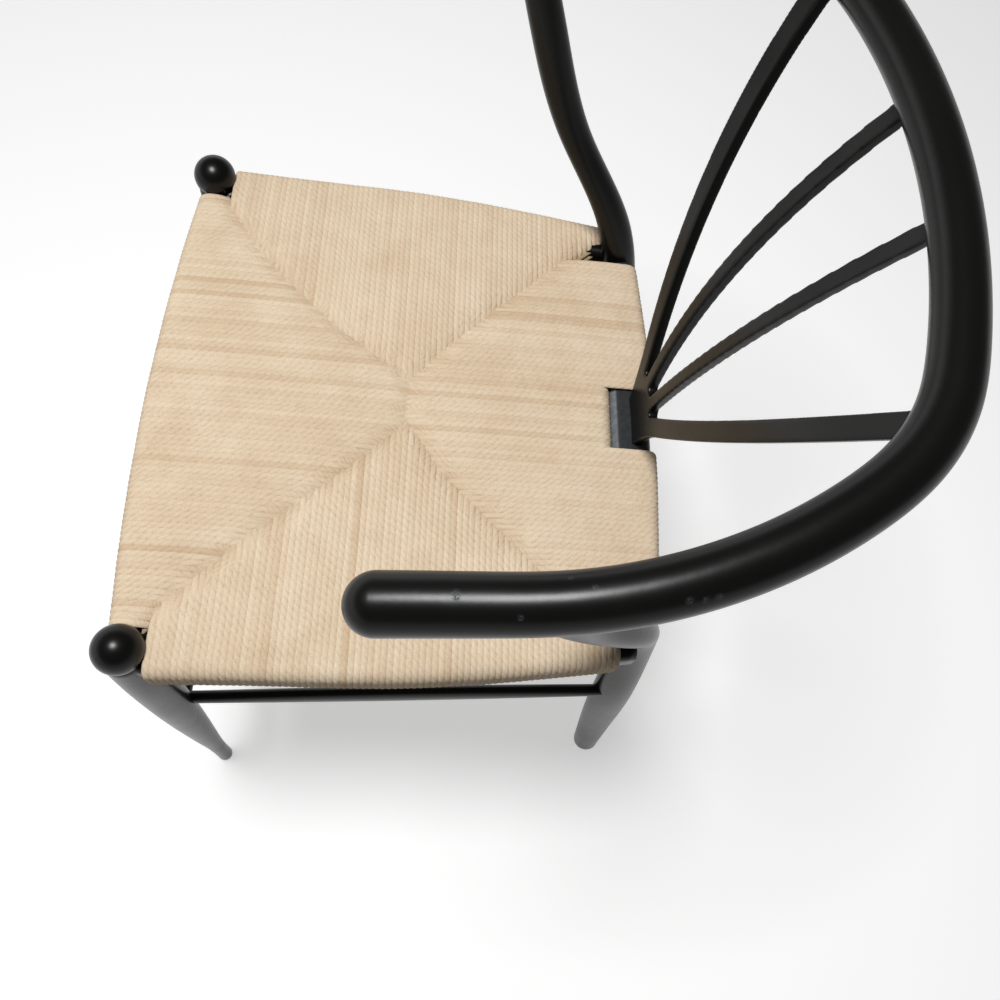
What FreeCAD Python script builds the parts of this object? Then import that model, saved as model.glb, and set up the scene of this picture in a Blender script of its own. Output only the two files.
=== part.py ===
"""Woven-cord armchair: a turned and bent wood frame with a corded seat, sizes in millimetres.

X runs across the chair (positive on the sitter's left), Y from front to back and Z up. The origin is on
the floor under the middle of the whole chair. Depths in the table are counted from the front legs' axis.
"""
import FreeCAD, Part
import math
import os
import re
import types

import Sketcher

SIZES = {
    # front legs: a ball on top of a turned taper
    "ball_spread": 222.3,
    "ball_height": 444.0,
    "ball_radius": 18.3,
    "neck_radius": 16.5,
    "front_foot_spread": 231.2,
    "front_foot_back": 4.5,
    "front_foot_radius": 8.0,
    "front_ankle_height": 60.0,
    "front_calf_height": 185.0,
    "front_calf_radius": 13.7,
    "front_swell_height": 316.0,
    "front_swell_radius": 17.3,
    "front_shoulder_height": 371.0,
    "front_shoulder_radius": 17.45,
    # rear legs: foot, knee beside the seat and top under the arm
    "rear_foot_spread": 200.4,
    "rear_foot_back": 432.8,
    "rear_foot_half_width": 13.1,
    "rear_foot_half_depth": 14.4,
    "shin_half_depth": 19.8,
    "knee_spread": 184.5,
    "knee_back": 384.2,
    "knee_height": 425.0,
    "knee_half_width": 13.7,
    "knee_half_depth": 16.2,
    "thigh_half_depth": 15.0,
    "rear_leg_top_half_width": 12.4,
    "rear_leg_top_half_depth": 13.0,
    "arm_joint_reach": 65.8,
    "arm_tenon_radius": 7.0,
    "arm_tenon_root": 28.0,
    # top rail: one bent bar, straight arms and arcs that close at the middle of the back
    "arm_spread": 256.7,
    "arm_tip_back": 183.9,
    "arm_tip_height": 686.2,
    "rail_tilt": 12.1,
    "rail_radius": 14.7,
    "arm_straight": 71.7,
    "shoulder_bend_radius": 270.0,
    "shoulder_bend_angle": 37.5,
    "corner_bend_radius": 112.0,
    "corner_bend_angle": 36.0,
    # seat rails
    "seat_rail_top": 437.0,
    "seat_rail_height": 26.0,
    "seat_rail_round": 8.0,
    "seat_rail_end_half": 9.5,
    "front_rail_belly": 18.5,
    "front_rail_inner": 14.0,
    "rear_rail_belly": 17.2,
    "rear_rail_inner": 20.8,
    "side_rail_inner": 10.0,
    "side_rail_rear_outset": 5.5,
    "seat_tenon_radius": 6.0,
    "seat_tenon_length": 15.0,
    "seat_tenon_stagger": 6.8,
    # stretchers
    "side_stretcher_height": 270.0,
    "cross_stretcher_height": 235.0,
    "stretcher_end_radius": 5.5,
    "stretcher_half_width": 6.3,
    "stretcher_half_height": 12.5,
    "stretcher_tenon_length": 11.0,
    "stretcher_tenon_radius": 4.8,
    "stretcher_cope": 2.0,
    "side_stretcher_front_inset": 5.5,
    "side_stretcher_rear_outset": 4.5,
    # splat: a bent board cut into a palm and four prongs
    "splat_thickness": 9.0,
    "splat_front": 383.5,
    "splat_bend_start": 440.0,
    "splat_bend_radius": 570.0,
    "splat_bend_angle": 36.0,
    "splat_plan_radius": 480.0,
    "splat_plan_angle": 46.0,
    "splat_tenon": 14.0,
    "palm_half_base": 23.0,
    "palm_height": 48.0,
    "palm_edge_bow": 2.0,
    "notch_depth": 4.5,
    "middle_notch_depth": 1.5,
    "prong_height": 264.0,
    "prong_middle": 124.1,
    "prong_set_in": 8.5,
    "outer_root": 33.2,
    "outer_middle": 104.8,
    "outer_top": 170.0,
    "outer_root_half": 9.0,
    "outer_middle_half": 8.4,
    "outer_top_half": 8.4,
    "inner_root": 10.6,
    "inner_middle": 31.1,
    "inner_top": 46.0,
    "inner_root_half": 5.5,
    "inner_middle_half": 6.0,
    "inner_top_half": 6.8,
    # corded seat and its stuffing; the rear rail stays bare in its middle
    "cord_wrap": 4.7,
    "weave_edge_round": 11.0,
    "front_wrap_reach": 203.6,
    "front_corner_back": 13.2,
    "rear_wrap_reach": 168.0,
    "rear_corner_reach": 398.4,
    "side_wrap_start": 18.8,
    "side_wrap_end": 363.0,
    "side_reach_front": 240.4,
    "side_reach_rear": 216.4,
    "side_bow": 7.9,
    "bare_half": 29.5,
    "seam_half": 20.4,
    "seam_back": 189.0,
    "crease_depth": 1.6,
    "crease_short": 7.0,
    "stuffing_gap": 1.5,
    "bare_gap": 0.3,
    # feet
    "glide_height": 4.0,
    "glide_radius": 7.2,
    "glide_round": 1.2,
    "nail_radius": 1.1,
    "nail_length": 16.0,
    "nail_head_radius": 3.0,
    "nail_head_height": 1.0,
    "nail_recess": 1.6,
    # clearance round tenons and nails, and how far cutting tools run past what they cut
    "joint_gap": 0.1,
    "overrun": 60.0,
}

# Rear leg between foot and knee, then between knee and top: shares of the rise, of the way across, of the
# way back, and of the change in half width and half depth.
SHIN_SHARES = ((0.0, 0.0, 0.0, 0.0, 0.0), (0.323, 0.317, 0.309, 0.6, 0.8), (0.656, 0.55, 0.636, 1.0, 1.0))
THIGH_SHARES = ((0.164, 0.178, 0.132, 0.0, 0.1), (0.418, 0.443, 0.489, 0.7, 1.0), (0.709, 0.706, 0.768, 1.0, 1.0))
# Swell of a stretcher along its length, and bow of the seat's side edge along its run.
STRETCHER_RUN_SHARES = (0.0, 0.2, 0.5, 0.8, 1.0)
STRETCHER_SWELL_SHARES = (0.0, 0.62, 1.0, 0.62, 0.0)
SIDE_RUN_SHARES = (0.0, 0.22, 0.5, 0.75, 1.0)
SIDE_BOW_SHARES = (0.0, 0.42, 1.0, 0.8, 0.0)
OVAL_POINTS = 12
LEG_SECTIONS = 17
LOFT_DEGREE = 3

SHEET_WORDS = {alias: f"Sizes.{alias}" for alias in SIZES}

mm = types.SimpleNamespace(**SIZES)
V = FreeCAD.Vector
UP = V(0, 0, 1)
SIDES = (("left", 1), ("right", -1))

doc = FreeCAD.newDocument("armchair")
sheet = doc.addObject("Spreadsheet::Sheet", "Sizes")
for row, (alias, size) in enumerate(SIZES.items(), start=1):
    sheet.set(f"A{row}", alias)
    sheet.set(f"B{row}", str(size))
    sheet.setAlias(f"B{row}", alias)
doc.recompute()


def value(formula):
    """A formula's value; the sheet's names stand for their cells."""
    return float(sheet.evalExpression(formula)) if isinstance(formula, str) else formula


def bind(thing, place, formula):
    """Bind a property to a formula of the sheet's names."""
    thing.setExpression(place, re.sub("[a-z_]+", lambda word: SHEET_WORDS.get(word[0], word[0]), formula))


def add(kind, name, **bound):
    """A document object with properties bound to formulas."""
    thing = doc.addObject(kind, name)
    for place, formula in bound.items():
        bind(thing, place, formula)
    return thing


def feature(name, shape):
    """A document object that holds a finished shape."""
    thing = doc.addObject("Part::Feature", name)
    thing.Shape = shape
    return thing


def cut(name, base, *tools):
    """The base with every tool cut away."""
    tool = tools[0]
    if len(tools) > 1:
        tool = doc.addObject("Part::MultiFuse", name + "_tools")
        tool.Shapes = list(tools)
    result = doc.addObject("Part::Cut", name)
    result.Base = base
    result.Tool = tool
    return result


def fuse(name, *shapes):
    """All shapes joined into one solid."""
    result = doc.addObject("Part::MultiFuse", name)
    result.Shapes = list(shapes)
    return result


def rod(name, start, along, radius, length):
    """A round rod that starts at a point and runs along a direction."""
    thing = add("Part::Cylinder", name, Radius=radius, Height=length)
    thing.Placement = FreeCAD.Placement(start, FreeCAD.Rotation(UP, along))
    return thing


def new_sketch(body, name, role):
    """A sketch on one of the body's own origin planes."""
    sketch = body.newObject("Sketcher::SketchObject", name)
    plane = next(item for item in body.Origin.OriginFeatures if item.Role == role)
    sketch.AttachmentSupport = (plane, [""])
    sketch.MapMode = "FlatFace"
    return sketch


def pin_corner(sketch, edge, end, x, y):
    """Hold a corner of the sketch at a place given by formulas."""
    for kind, formula, axis in (("DistanceX", x, -2), ("DistanceY", y, -1)):
        if not isinstance(formula, str):
            continue
        if formula == "0":
            sketch.addConstraint(Sketcher.Constraint("PointOnObject", edge, end, axis))
        else:
            index = sketch.addConstraint(Sketcher.Constraint(kind, -1, 1, edge, end, value(formula)))
            bind(sketch, f"Constraints[{index}]", formula)


def outline(sketch, corners, closed=True):
    """Lines and arcs through corners of (x, y, middle of the arc to the next corner, or None)."""
    count = len(corners)
    ends = []
    for number in range(count if closed else count - 1):
        x, y, middle = corners[number]
        start = V(value(x), value(y), 0)
        stop = V(value(corners[(number + 1) % count][0]), value(corners[(number + 1) % count][1]), 0)
        if middle is None:
            sketch.addGeometry(Part.LineSegment(start, stop))
            ends.append((1, 2))
        else:
            via = V(value(middle[0]), value(middle[1]), 0)
            turns_left = (via - start).cross(stop - via).z > 0
            sketch.addGeometry(Part.Arc(start, via, stop) if turns_left else Part.Arc(stop, via, start))
            ends.append((1, 2) if turns_left else (2, 1))
    for number in range(count if closed else count - 2):
        after = (number + 1) % count
        sketch.addConstraint(Sketcher.Constraint("Coincident", number, ends[number][1], after, ends[after][0]))
    for number, end in enumerate(ends):
        pin_corner(sketch, number, end[0], corners[number][0], corners[number][1])


def mirrored(half):
    """Corners of a whole outline from those of its right half, listed from bottom to top."""
    other = []
    for number in range(len(half) - 1, -1, -1):
        x, y, _ = half[number]
        middle = half[number - 1][2] if number else None
        if middle is not None:
            middle = (f"-({middle[0]})", middle[1])
        other.append((f"-({x})", y, middle))
    return half + other


def revolved(body, sketch, name):
    """Turn a half profile about the sketch's upright axis."""
    turn = body.newObject("PartDesign::Revolution", name)
    turn.Profile = sketch
    turn.ReferenceAxis = (sketch, ["V_Axis"])
    turn.Angle = 360
    return turn


def section(shape, height):
    """Centre and half sizes of a solid's level cut."""
    wire = shape.slice(UP, height)[0]
    box = wire.BoundBox
    return V(box.Center.x, box.Center.y, height), box.XLength / 2, box.YLength / 2


def oval(centre, wide, high, half_wide, half_high):
    """A closed oval about a centre, in the plane of two directions."""
    points = []
    for step in range(OVAL_POINTS):
        turn = 2 * math.pi * step / OVAL_POINTS
        points.append(centre + wide * (half_wide * math.cos(turn)) + high * (half_high * math.sin(turn)))
    curve = Part.BSplineCurve()
    curve.interpolate(points, PeriodicFlag=True)
    return Part.Wire(curve.toShape())


# Plan of the top rail in its own tilted plane, from the arm's tip to the middle of the back.
shoulder_turn = math.radians(mm.shoulder_bend_angle)
corner_turn = shoulder_turn + math.radians(mm.corner_bend_angle)


def ray(turn):
    """Unit direction in the rail's plane, turned from straight out to the side."""
    return V(math.cos(turn), math.sin(turn), 0)


tip = V(mm.arm_spread, 0, 0)
shoulder_start = V(mm.arm_spread, mm.arm_straight, 0)
shoulder_centre = shoulder_start - ray(0) * mm.shoulder_bend_radius
shoulder_end = shoulder_centre + ray(shoulder_turn) * mm.shoulder_bend_radius
corner_centre = shoulder_end - ray(shoulder_turn) * mm.corner_bend_radius
corner_end = corner_centre + ray(corner_turn) * mm.corner_bend_radius
back_bend_radius = corner_end.x / math.cos(corner_turn)
back_centre = V(0, corner_end.y - back_bend_radius * math.sin(corner_turn), 0)
back_middle = back_centre + V(0, back_bend_radius, 0)

# The chair's middle lies halfway between the seat's front edge and the back of the rail.
tilt = math.radians(mm.rail_tilt)
front_reach = mm.front_rail_belly + mm.cord_wrap
back_reach = mm.arm_tip_back + back_middle.y * math.cos(tilt) + mm.rail_radius
front_line = (front_reach - back_reach) / 2


def at(across, back, height):
    """A point of the chair; back is counted from the front legs' axis."""
    return V(across, back + front_line, height)


rail_turn = FreeCAD.Rotation(V(1, 0, 0), mm.rail_tilt)
rail_place = FreeCAD.Placement(at(0, mm.arm_tip_back, mm.arm_tip_height), rail_turn)


def rail_point(across, along, over):
    """A point given in the rail's tilted plane."""
    return rail_place.multVec(V(across, along, over))


def top_rail_blank():
    """The bent bar with its two round ends."""
    body = doc.addObject("PartDesign::Body", "rail_bar")
    path = new_sketch(body, "rail_path", "XY_Plane")
    half = [(shoulder_start, shoulder_centre + ray(shoulder_turn / 2) * mm.shoulder_bend_radius)]
    half.append((shoulder_end, corner_centre + ray((shoulder_turn + corner_turn) / 2) * mm.corner_bend_radius))
    half.append((corner_end, back_middle))
    corners = [(tip.x, tip.y, None)] + [(point.x, point.y, (middle.x, middle.y)) for point, middle in half]
    back = [(-corner_end.x, corner_end.y, (-half[1][1].x, half[1][1].y))]
    back.append((-shoulder_end.x, shoulder_end.y, (-half[0][1].x, half[0][1].y)))
    back.append((-shoulder_start.x, shoulder_start.y, None))
    back.append((-tip.x, tip.y, None))
    outline(path, corners + back, closed=False)
    ring = new_sketch(body, "rail_section", "XZ_Plane")
    ring.addGeometry(Part.Circle(V(mm.arm_spread, 0, 0), V(0, 0, 1), mm.rail_radius))
    radius = ring.addConstraint(Sketcher.Constraint("Radius", 0, mm.rail_radius))
    bind(ring, f"Constraints[{radius}]", "rail_radius")
    across = ring.addConstraint(Sketcher.Constraint("DistanceX", -1, 1, 0, 3, mm.arm_spread))
    bind(ring, f"Constraints[{across}]", "arm_spread")
    ring.addConstraint(Sketcher.Constraint("PointOnObject", 0, 3, -1))
    pipe = body.newObject("PartDesign::AdditivePipe", "rail_sweep")
    pipe.Profile = ring
    pipe.Spine = (path, [f"Edge{number + 1}" for number in range(len(path.Geometry))])
    body.Placement = rail_place
    ends = []
    for name, side in SIDES:
        ball = add("Part::Sphere", f"arm_tip_{name}", Radius="rail_radius")
        ball.Placement = FreeCAD.Placement(rail_point(side * mm.arm_spread, 0, 0), FreeCAD.Rotation())
        ends.append(ball)
    return fuse("rail_blank", body, *ends)


def front_leg_axis(side, height):
    """Point of a front leg's axis at a height."""
    share = (height - mm.glide_height) / (mm.ball_height - mm.glide_height)
    across = mm.front_foot_spread + share * (mm.ball_spread - mm.front_foot_spread)
    return at(side * across, mm.front_foot_back * (1 - share), height)


def front_leg_blank(name, side):
    """A turned leg: foot, taper, swell under the seat, neck and ball."""
    reach = "sqrt((front_foot_spread - ball_spread)^2 + front_foot_back^2 + (ball_height - glide_height)^2)"
    neck = f"({reach} - sqrt(ball_radius^2 - neck_radius^2))"
    body = doc.addObject("PartDesign::Body", f"front_turning_{name}")
    sketch = new_sketch(body, f"front_profile_{name}", "XZ_Plane")
    calf = ("front_calf_radius", "front_calf_height")
    shoulder = ("front_shoulder_radius", "front_shoulder_height")
    corners = [("0", "-nail_recess", None), ("front_foot_radius", "-nail_recess", None)]
    corners.append(("front_foot_radius", "front_ankle_height", calf))
    corners.append(("front_swell_radius", "front_swell_height", shoulder))
    corners.append(("neck_radius", neck, ("ball_radius", reach)))
    corners.append(("0", f"{reach} + ball_radius", None))
    outline(sketch, corners)
    revolved(body, sketch, f"front_turn_{name}")
    foot = front_leg_axis(side, mm.glide_height)
    head = front_leg_axis(side, mm.ball_height)
    seam_outward = FreeCAD.Rotation(UP, 90 - 90 * side)
    body.Placement = FreeCAD.Placement(foot, FreeCAD.Rotation(UP, head - foot).multiply(seam_outward))
    return body


def rear_leg_stations(side):
    """Centres and half sizes of the rear leg's level sections, from the foot to the arm."""
    foot = at(side * mm.rear_foot_spread, mm.rear_foot_back, mm.glide_height)
    knee = at(side * mm.knee_spread, mm.knee_back, mm.knee_height)
    head = rail_point(side * mm.arm_spread, mm.arm_joint_reach, 0)
    stations = []
    for rise, across, back, wide, deep in SHIN_SHARES:
        way = knee - foot
        centre = foot + V(across * way.x, back * way.y, rise * way.z)
        half_wide = mm.rear_foot_half_width + wide * (mm.knee_half_width - mm.rear_foot_half_width)
        half_deep = mm.rear_foot_half_depth + deep * (mm.shin_half_depth - mm.rear_foot_half_depth)
        stations.append((centre, half_wide, half_deep))
    stations.append((knee, mm.knee_half_width, mm.knee_half_depth))
    for rise, across, back, wide, deep in THIGH_SHARES:
        way = head - knee
        centre = knee + V(across * way.x, back * way.y, rise * way.z)
        half_wide = mm.knee_half_width + wide * (mm.rear_leg_top_half_width - mm.knee_half_width)
        half_deep = mm.knee_half_depth + deep * (mm.thigh_half_depth - mm.knee_half_depth)
        stations.append((centre, half_wide, half_deep))
    stations.append((head, mm.rear_leg_top_half_width, mm.rear_leg_top_half_depth))
    return stations


def by_height(points):
    """A smooth curve through rising points, with the height as its parameter."""
    curve = Part.BSplineCurve()
    curve.interpolate(points, Parameters=[point.z for point in points])
    return curve


def rear_leg_blank(name, side):
    """A sawn and shaped leg that bends forward above the seat."""
    stations = rear_leg_stations(side)
    line = by_height([centre for centre, _, _ in stations])
    girth = by_height([V(wide, deep, centre.z) for centre, wide, deep in stations])
    rise = stations[-1][0].z - mm.glide_height
    wires = []
    for number in range(LEG_SECTIONS):
        height = mm.glide_height + rise * number / (LEG_SECTIONS - 1)
        half = girth.value(height)
        wires.append(oval(line.value(height), V(side, 0, 0), V(0, 1, 0), half.x, half.y))
    return feature(f"rear_shape_{name}", Part.makeLoft(wires, True, False, False, LOFT_DEGREE))


def side_edge(inset):
    """Points of the seat's left edge from front to back, moved in by an inset."""
    run = mm.side_wrap_end - mm.side_wrap_start
    points = []
    for share, bow in zip(SIDE_RUN_SHARES, SIDE_BOW_SHARES):
        across = mm.side_reach_front + share * (mm.side_reach_rear - mm.side_reach_front) + bow * mm.side_bow
        points.append(at(across - inset, mm.side_wrap_start + share * run, 0))
    return points


seat_rail_middle = mm.seat_rail_top - mm.seat_rail_height / 2
side_rail_front = front_leg_axis(1, seat_rail_middle)
side_rail_rear = at(mm.knee_spread + mm.side_rail_rear_outset, mm.knee_back, seat_rail_middle)


def rounded_pad(body, sketch, name):
    """Pad a rail's plan to its height and round its long edges."""
    pad = body.newObject("PartDesign::Pad", f"{name}_pad")
    pad.Profile = sketch
    pad.Midplane = True
    bind(pad, "Length", "seat_rail_height")
    doc.recompute()
    long_edges = []
    for number, edge in enumerate(pad.Shape.Edges, start=1):
        box = edge.BoundBox
        flat = box.ZLength < mm.joint_gap
        if flat and max(box.XLength, box.YLength) > mm.ball_spread / 2:
            long_edges.append(f"Edge{number}")
    rounding = body.newObject("PartDesign::Fillet", f"{name}_round")
    rounding.Base = (pad, long_edges)
    bind(rounding, "Radius", "seat_rail_round")
    body.Tip = rounding
    return rounding


def cross_rail_blank(name, centre, reach, front_half, back_half):
    """A rail between two legs, wider in its middle towards the front and the back."""
    body = doc.addObject("PartDesign::Body", f"{name}_body")
    sketch = new_sketch(body, f"{name}_plan", "XY_Plane")
    corners = [(f"-({reach})", "-seat_rail_end_half", ("0", f"-({front_half})"))]
    corners.append((reach, "-seat_rail_end_half", None))
    corners.append((reach, "seat_rail_end_half", ("0", back_half)))
    corners.append((f"-({reach})", "seat_rail_end_half", None))
    outline(sketch, corners)
    rounded_pad(body, sketch, name)
    body.Placement = FreeCAD.Placement(centre, FreeCAD.Rotation())
    return body


def side_rail_blank(name, side):
    """A side rail: straight inside, bowed outside under the cord."""
    body = doc.addObject("PartDesign::Body", f"side_rail_body_{name}")
    sketch = new_sketch(body, f"side_rail_plan_{name}", "XY_Plane")
    edge = [V(side * point.x, point.y, 0) for point in side_edge(mm.cord_wrap)]
    lead = (edge[0] - edge[1]).normalize()
    trail = (edge[-1] - edge[-2]).normalize()
    edge[0] = edge[0] + lead * mm.side_wrap_start
    edge[-1] = edge[-1] + trail * (mm.knee_back - mm.side_wrap_end)
    inner_front = V(side * (side_rail_front.x - mm.side_rail_inner), edge[0].y, 0)
    inner_rear = V(side * (side_rail_rear.x - mm.side_rail_inner), edge[-1].y, 0)
    bow = Part.BSplineCurve()
    bow.interpolate(edge)
    sketch.addGeometry(bow)
    for start, stop in ((edge[-1], inner_rear), (inner_rear, inner_front), (inner_front, edge[0])):
        sketch.addGeometry(Part.LineSegment(start, stop))
    rounded_pad(body, sketch, f"side_rail_{name}")
    body.Placement = FreeCAD.Placement(V(0, 0, seat_rail_middle), FreeCAD.Rotation())
    return body


def splat_blank():
    """A board bent backwards and hollowed to the sitter's back."""
    body = doc.addObject("PartDesign::Body", "splat_board")
    sketch = new_sketch(body, "splat_side", "YZ_Plane")
    bend = "splat_bend_radius"
    inner = "(splat_bend_radius - splat_thickness)"
    foot = "seat_rail_top - splat_tenon"
    corners = [("splat_plan_radius", foot, None)]

    def on_bend(radius, share):
        angle = f"splat_bend_angle * {share} * 1 deg"
        depth = f"splat_plan_radius + {bend} - {radius} * cos({angle})"
        return depth, f"splat_bend_start + {radius} * sin({angle})"

    corners.append(("splat_plan_radius", "splat_bend_start", on_bend(bend, 0.5)))
    corners.append((*on_bend(bend, 1), None))
    corners.append((*on_bend(inner, 1), on_bend(inner, 0.5)))
    corners.append(("splat_plan_radius + splat_thickness", "splat_bend_start", None))
    corners.append(("splat_plan_radius + splat_thickness", foot, None))
    outline(sketch, corners)
    turn = revolved(body, sketch, "splat_hollow")
    turn.Midplane = True
    bind(turn, "Angle", "splat_plan_angle")
    body.Placement = FreeCAD.Placement(at(0, mm.splat_front - mm.splat_plan_radius, 0), FreeCAD.Rotation())
    return body


def splat_outline():
    """Front view of the splat: palm, two inner prongs and two outer prongs."""
    body = doc.addObject("PartDesign::Body", "splat_pattern")
    sketch = new_sketch(body, "splat_front_view", "XZ_Plane")
    foot = "seat_rail_top - splat_tenon"
    root = "seat_rail_top + palm_height"
    middle = "seat_rail_top + palm_height + prong_middle"
    top = "seat_rail_top + palm_height + prong_height"
    half = [("palm_half_base", foot, None)]
    half.append(("palm_half_base", "seat_rail_top", None))
    palm_middle = "(palm_half_base + outer_root + outer_root_half) / 2 - palm_edge_bow"
    half[-1] = (half[-1][0], half[-1][1], (palm_middle, "seat_rail_top + palm_height / 2"))
    half.append(("outer_root + outer_root_half", root, ("outer_middle + outer_middle_half", middle)))
    half.append(("outer_top + outer_top_half", top, None))
    half.append(("outer_top - outer_top_half", top, ("outer_middle - outer_middle_half", middle)))
    gap_middle = "(outer_root - outer_root_half + inner_root + inner_root_half) / 2"
    half.append(("outer_root - outer_root_half", root, (gap_middle, f"{root} - notch_depth")))
    half.append(("inner_root + inner_root_half", root, ("inner_middle + inner_middle_half", middle)))
    half.append(("inner_top + inner_top_half", top, None))
    half.append(("inner_top - inner_top_half", top, ("inner_middle - inner_middle_half", middle)))
    half.append(("inner_root - inner_root_half", root, ("0", f"{root} - middle_notch_depth")))
    outline(sketch, mirrored(half))
    pad = body.newObject("PartDesign::Pad", "splat_pattern_depth")
    pad.Profile = sketch
    pad.Midplane = True
    bind(pad, "Length", "arm_spread * 2")
    body.Placement = FreeCAD.Placement(at(0, mm.splat_front, 0), FreeCAD.Rotation())
    return body


def above_prongs():
    """Everything above the level at which the prongs end inside the rail."""
    reach = "arm_spread * 4"
    block = add("Part::Box", "above_prongs", Length=reach, Width=reach, Height="arm_spread")
    corner = rail_point(-2 * mm.arm_spread, -mm.arm_spread, mm.prong_set_in - mm.rail_radius)
    block.Placement = FreeCAD.Placement(corner, rail_place.Rotation)
    return block


def stretcher(name, start, stop, legs):
    """A slim oval bar with a round tenon at each end; start and stop are the tenons' ends."""
    along = (stop - start).normalize()
    across = along.cross(UP).normalize()
    shoulder = mm.stretcher_tenon_length - mm.stretcher_cope
    run = (stop - start).Length - 2 * shoulder
    wires = []
    for share, swell in zip(STRETCHER_RUN_SHARES, STRETCHER_SWELL_SHARES):
        wide = mm.stretcher_end_radius + swell * (mm.stretcher_half_width - mm.stretcher_end_radius)
        high = mm.stretcher_end_radius + swell * (mm.stretcher_half_height - mm.stretcher_end_radius)
        wires.append(oval(start + along * (shoulder + run * share), across, UP, wide, high))
    bar = feature(f"{name}_bar", Part.makeLoft(wires, True, False, False, LOFT_DEGREE))
    coped = cut(f"{name}_coped", bar, *legs)
    root = "stretcher_tenon_length * 2"
    ends = [rod(f"{name}_tenon_start", start, along, "stretcher_tenon_radius", root)]
    ends.append(rod(f"{name}_tenon_stop", stop, along * -1, "stretcher_tenon_radius", root))
    return fuse(name, coped, *ends)


def mortise(name, end, inward, radius):
    """The hole for a tenon that ends at a point; inward points back along the tenon."""
    return rod(name, end, inward, f"{radius} + joint_gap", "overrun")


def weave_outline():
    """Plan of the corded seat with its legs' corners left out."""
    side = side_edge(0)
    front = at(0, -front_reach, 0)
    front_corner = at(mm.front_wrap_reach, -mm.front_corner_back, 0)
    rear = at(0, mm.knee_back + mm.rear_rail_belly + mm.cord_wrap, 0)
    rear_corner = at(mm.rear_wrap_reach, mm.rear_corner_reach, 0)
    edges = [Part.Arc(flip(front_corner), front, front_corner).toShape()]
    notch = V(front_corner.x, side[0].y, 0)
    edges.append(Part.makeLine(front_corner, notch))
    edges.append(Part.makeLine(notch, side[0]))
    bow = Part.BSplineCurve()
    bow.interpolate(side)
    edges.append(bow.toShape())
    notch = V(rear_corner.x, side[-1].y, 0)
    edges.append(Part.makeLine(side[-1], notch))
    edges.append(Part.makeLine(notch, rear_corner))
    edges.append(Part.Arc(rear_corner, rear, flip(rear_corner)).toShape())
    notch = V(-rear_corner.x, side[-1].y, 0)
    edges.append(Part.makeLine(flip(rear_corner), notch))
    edges.append(Part.makeLine(notch, flip(side[-1])))
    bow = Part.BSplineCurve()
    bow.interpolate([flip(point) for point in reversed(side)])
    edges.append(bow.toShape())
    notch = V(-front_corner.x, side[0].y, 0)
    edges.append(Part.makeLine(flip(side[0]), notch))
    edges.append(Part.makeLine(notch, flip(front_corner)))
    return Part.Wire(Part.__sortEdges__(edges))


def groove(start, stop):
    """A shallow V along a line of the seat's top."""
    along = stop - start
    width = mm.crease_depth * math.sqrt(2)
    tool = Part.makeBox(along.Length, width, width)
    tool.Placement = FreeCAD.Placement(V(0, 0, -mm.crease_depth), FreeCAD.Rotation(V(1, 0, 0), 45))
    turned = tool.copy()
    turned.Placement = FreeCAD.Placement(start, FreeCAD.Rotation(V(1, 0, 0), along)).multiply(tool.Placement)
    return turned


weave_top = mm.seat_rail_top + mm.cord_wrap
weave_bottom = mm.seat_rail_top - mm.seat_rail_height - mm.cord_wrap
pocket_front = mm.front_rail_inner
pocket_rear = mm.knee_back - mm.rear_rail_inner


def pocket_corners():
    """Corners of the hollow between the four rails: left front, left rear and the seam's left end."""
    front = at(side_rail_front.x - mm.side_rail_inner, pocket_front, 0)
    rear = at(side_rail_rear.x - mm.side_rail_inner, pocket_rear, 0)
    return front, rear, at(mm.seam_half, mm.seam_back, 0)


def prism(points, bottom, top):
    """An upright block over a flat outline."""
    level = [V(point.x, point.y, bottom) for point in points]
    return Part.Face(Part.makePolygon(level + level[:1])).extrude(V(0, 0, top - bottom))


def flip(point):
    """The same point on the other side of the chair."""
    return V(-point.x, point.y, point.z)


def seat_weave(rails):
    """The corded seat: two skins of cord that wrap the rails round a hollow, creased where cords turn."""
    face = Part.Face(weave_outline())
    face.translate(V(0, 0, weave_bottom))
    block = face.extrude(V(0, 0, weave_top - weave_bottom))
    level = [edge for edge in block.Edges if edge.BoundBox.ZLength < mm.joint_gap]
    rim = [edge for edge in level if edge.Length > mm.rear_wrap_reach]
    block = block.makeFillet(mm.weave_edge_round, rim)
    front, rear = side_rail_front, side_rail_rear
    hollow = prism([front, rear, flip(rear), flip(front)], weave_bottom + mm.cord_wrap, weave_top - mm.cord_wrap)
    bare_start = pocket_rear - mm.bare_gap
    lip = Part.makeBox(2 * mm.bare_half, mm.cord_wrap, mm.overrun)
    lip.translate(at(-mm.bare_half, bare_start - mm.cord_wrap, weave_bottom))
    block = block.cut(hollow.cut(lip))
    for rail in rails:
        block = block.cut(rail.Shape)
    bare = Part.makeBox(2 * mm.bare_half, mm.overrun, mm.overrun)
    bare.translate(at(-mm.bare_half, bare_start, weave_bottom))
    block = block.cut(bare)
    seam = at(mm.seam_half, mm.seam_back, weave_top)
    corner_front = at(mm.front_wrap_reach, mm.side_wrap_start, weave_top)
    corner_rear = at(mm.rear_wrap_reach, mm.side_wrap_end, weave_top)
    across = V(mm.crease_short, 0, 0)
    block = block.cut(groove(flip(seam) - across, seam + across))
    for corner in (corner_front, corner_rear):
        short = (corner - seam).normalize() * mm.crease_short
        block = block.cut(groove(seam - short, corner - short))
        block = block.cut(groove(flip(seam - short), flip(corner - short)))
    return feature("seat_weave", block)


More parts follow.
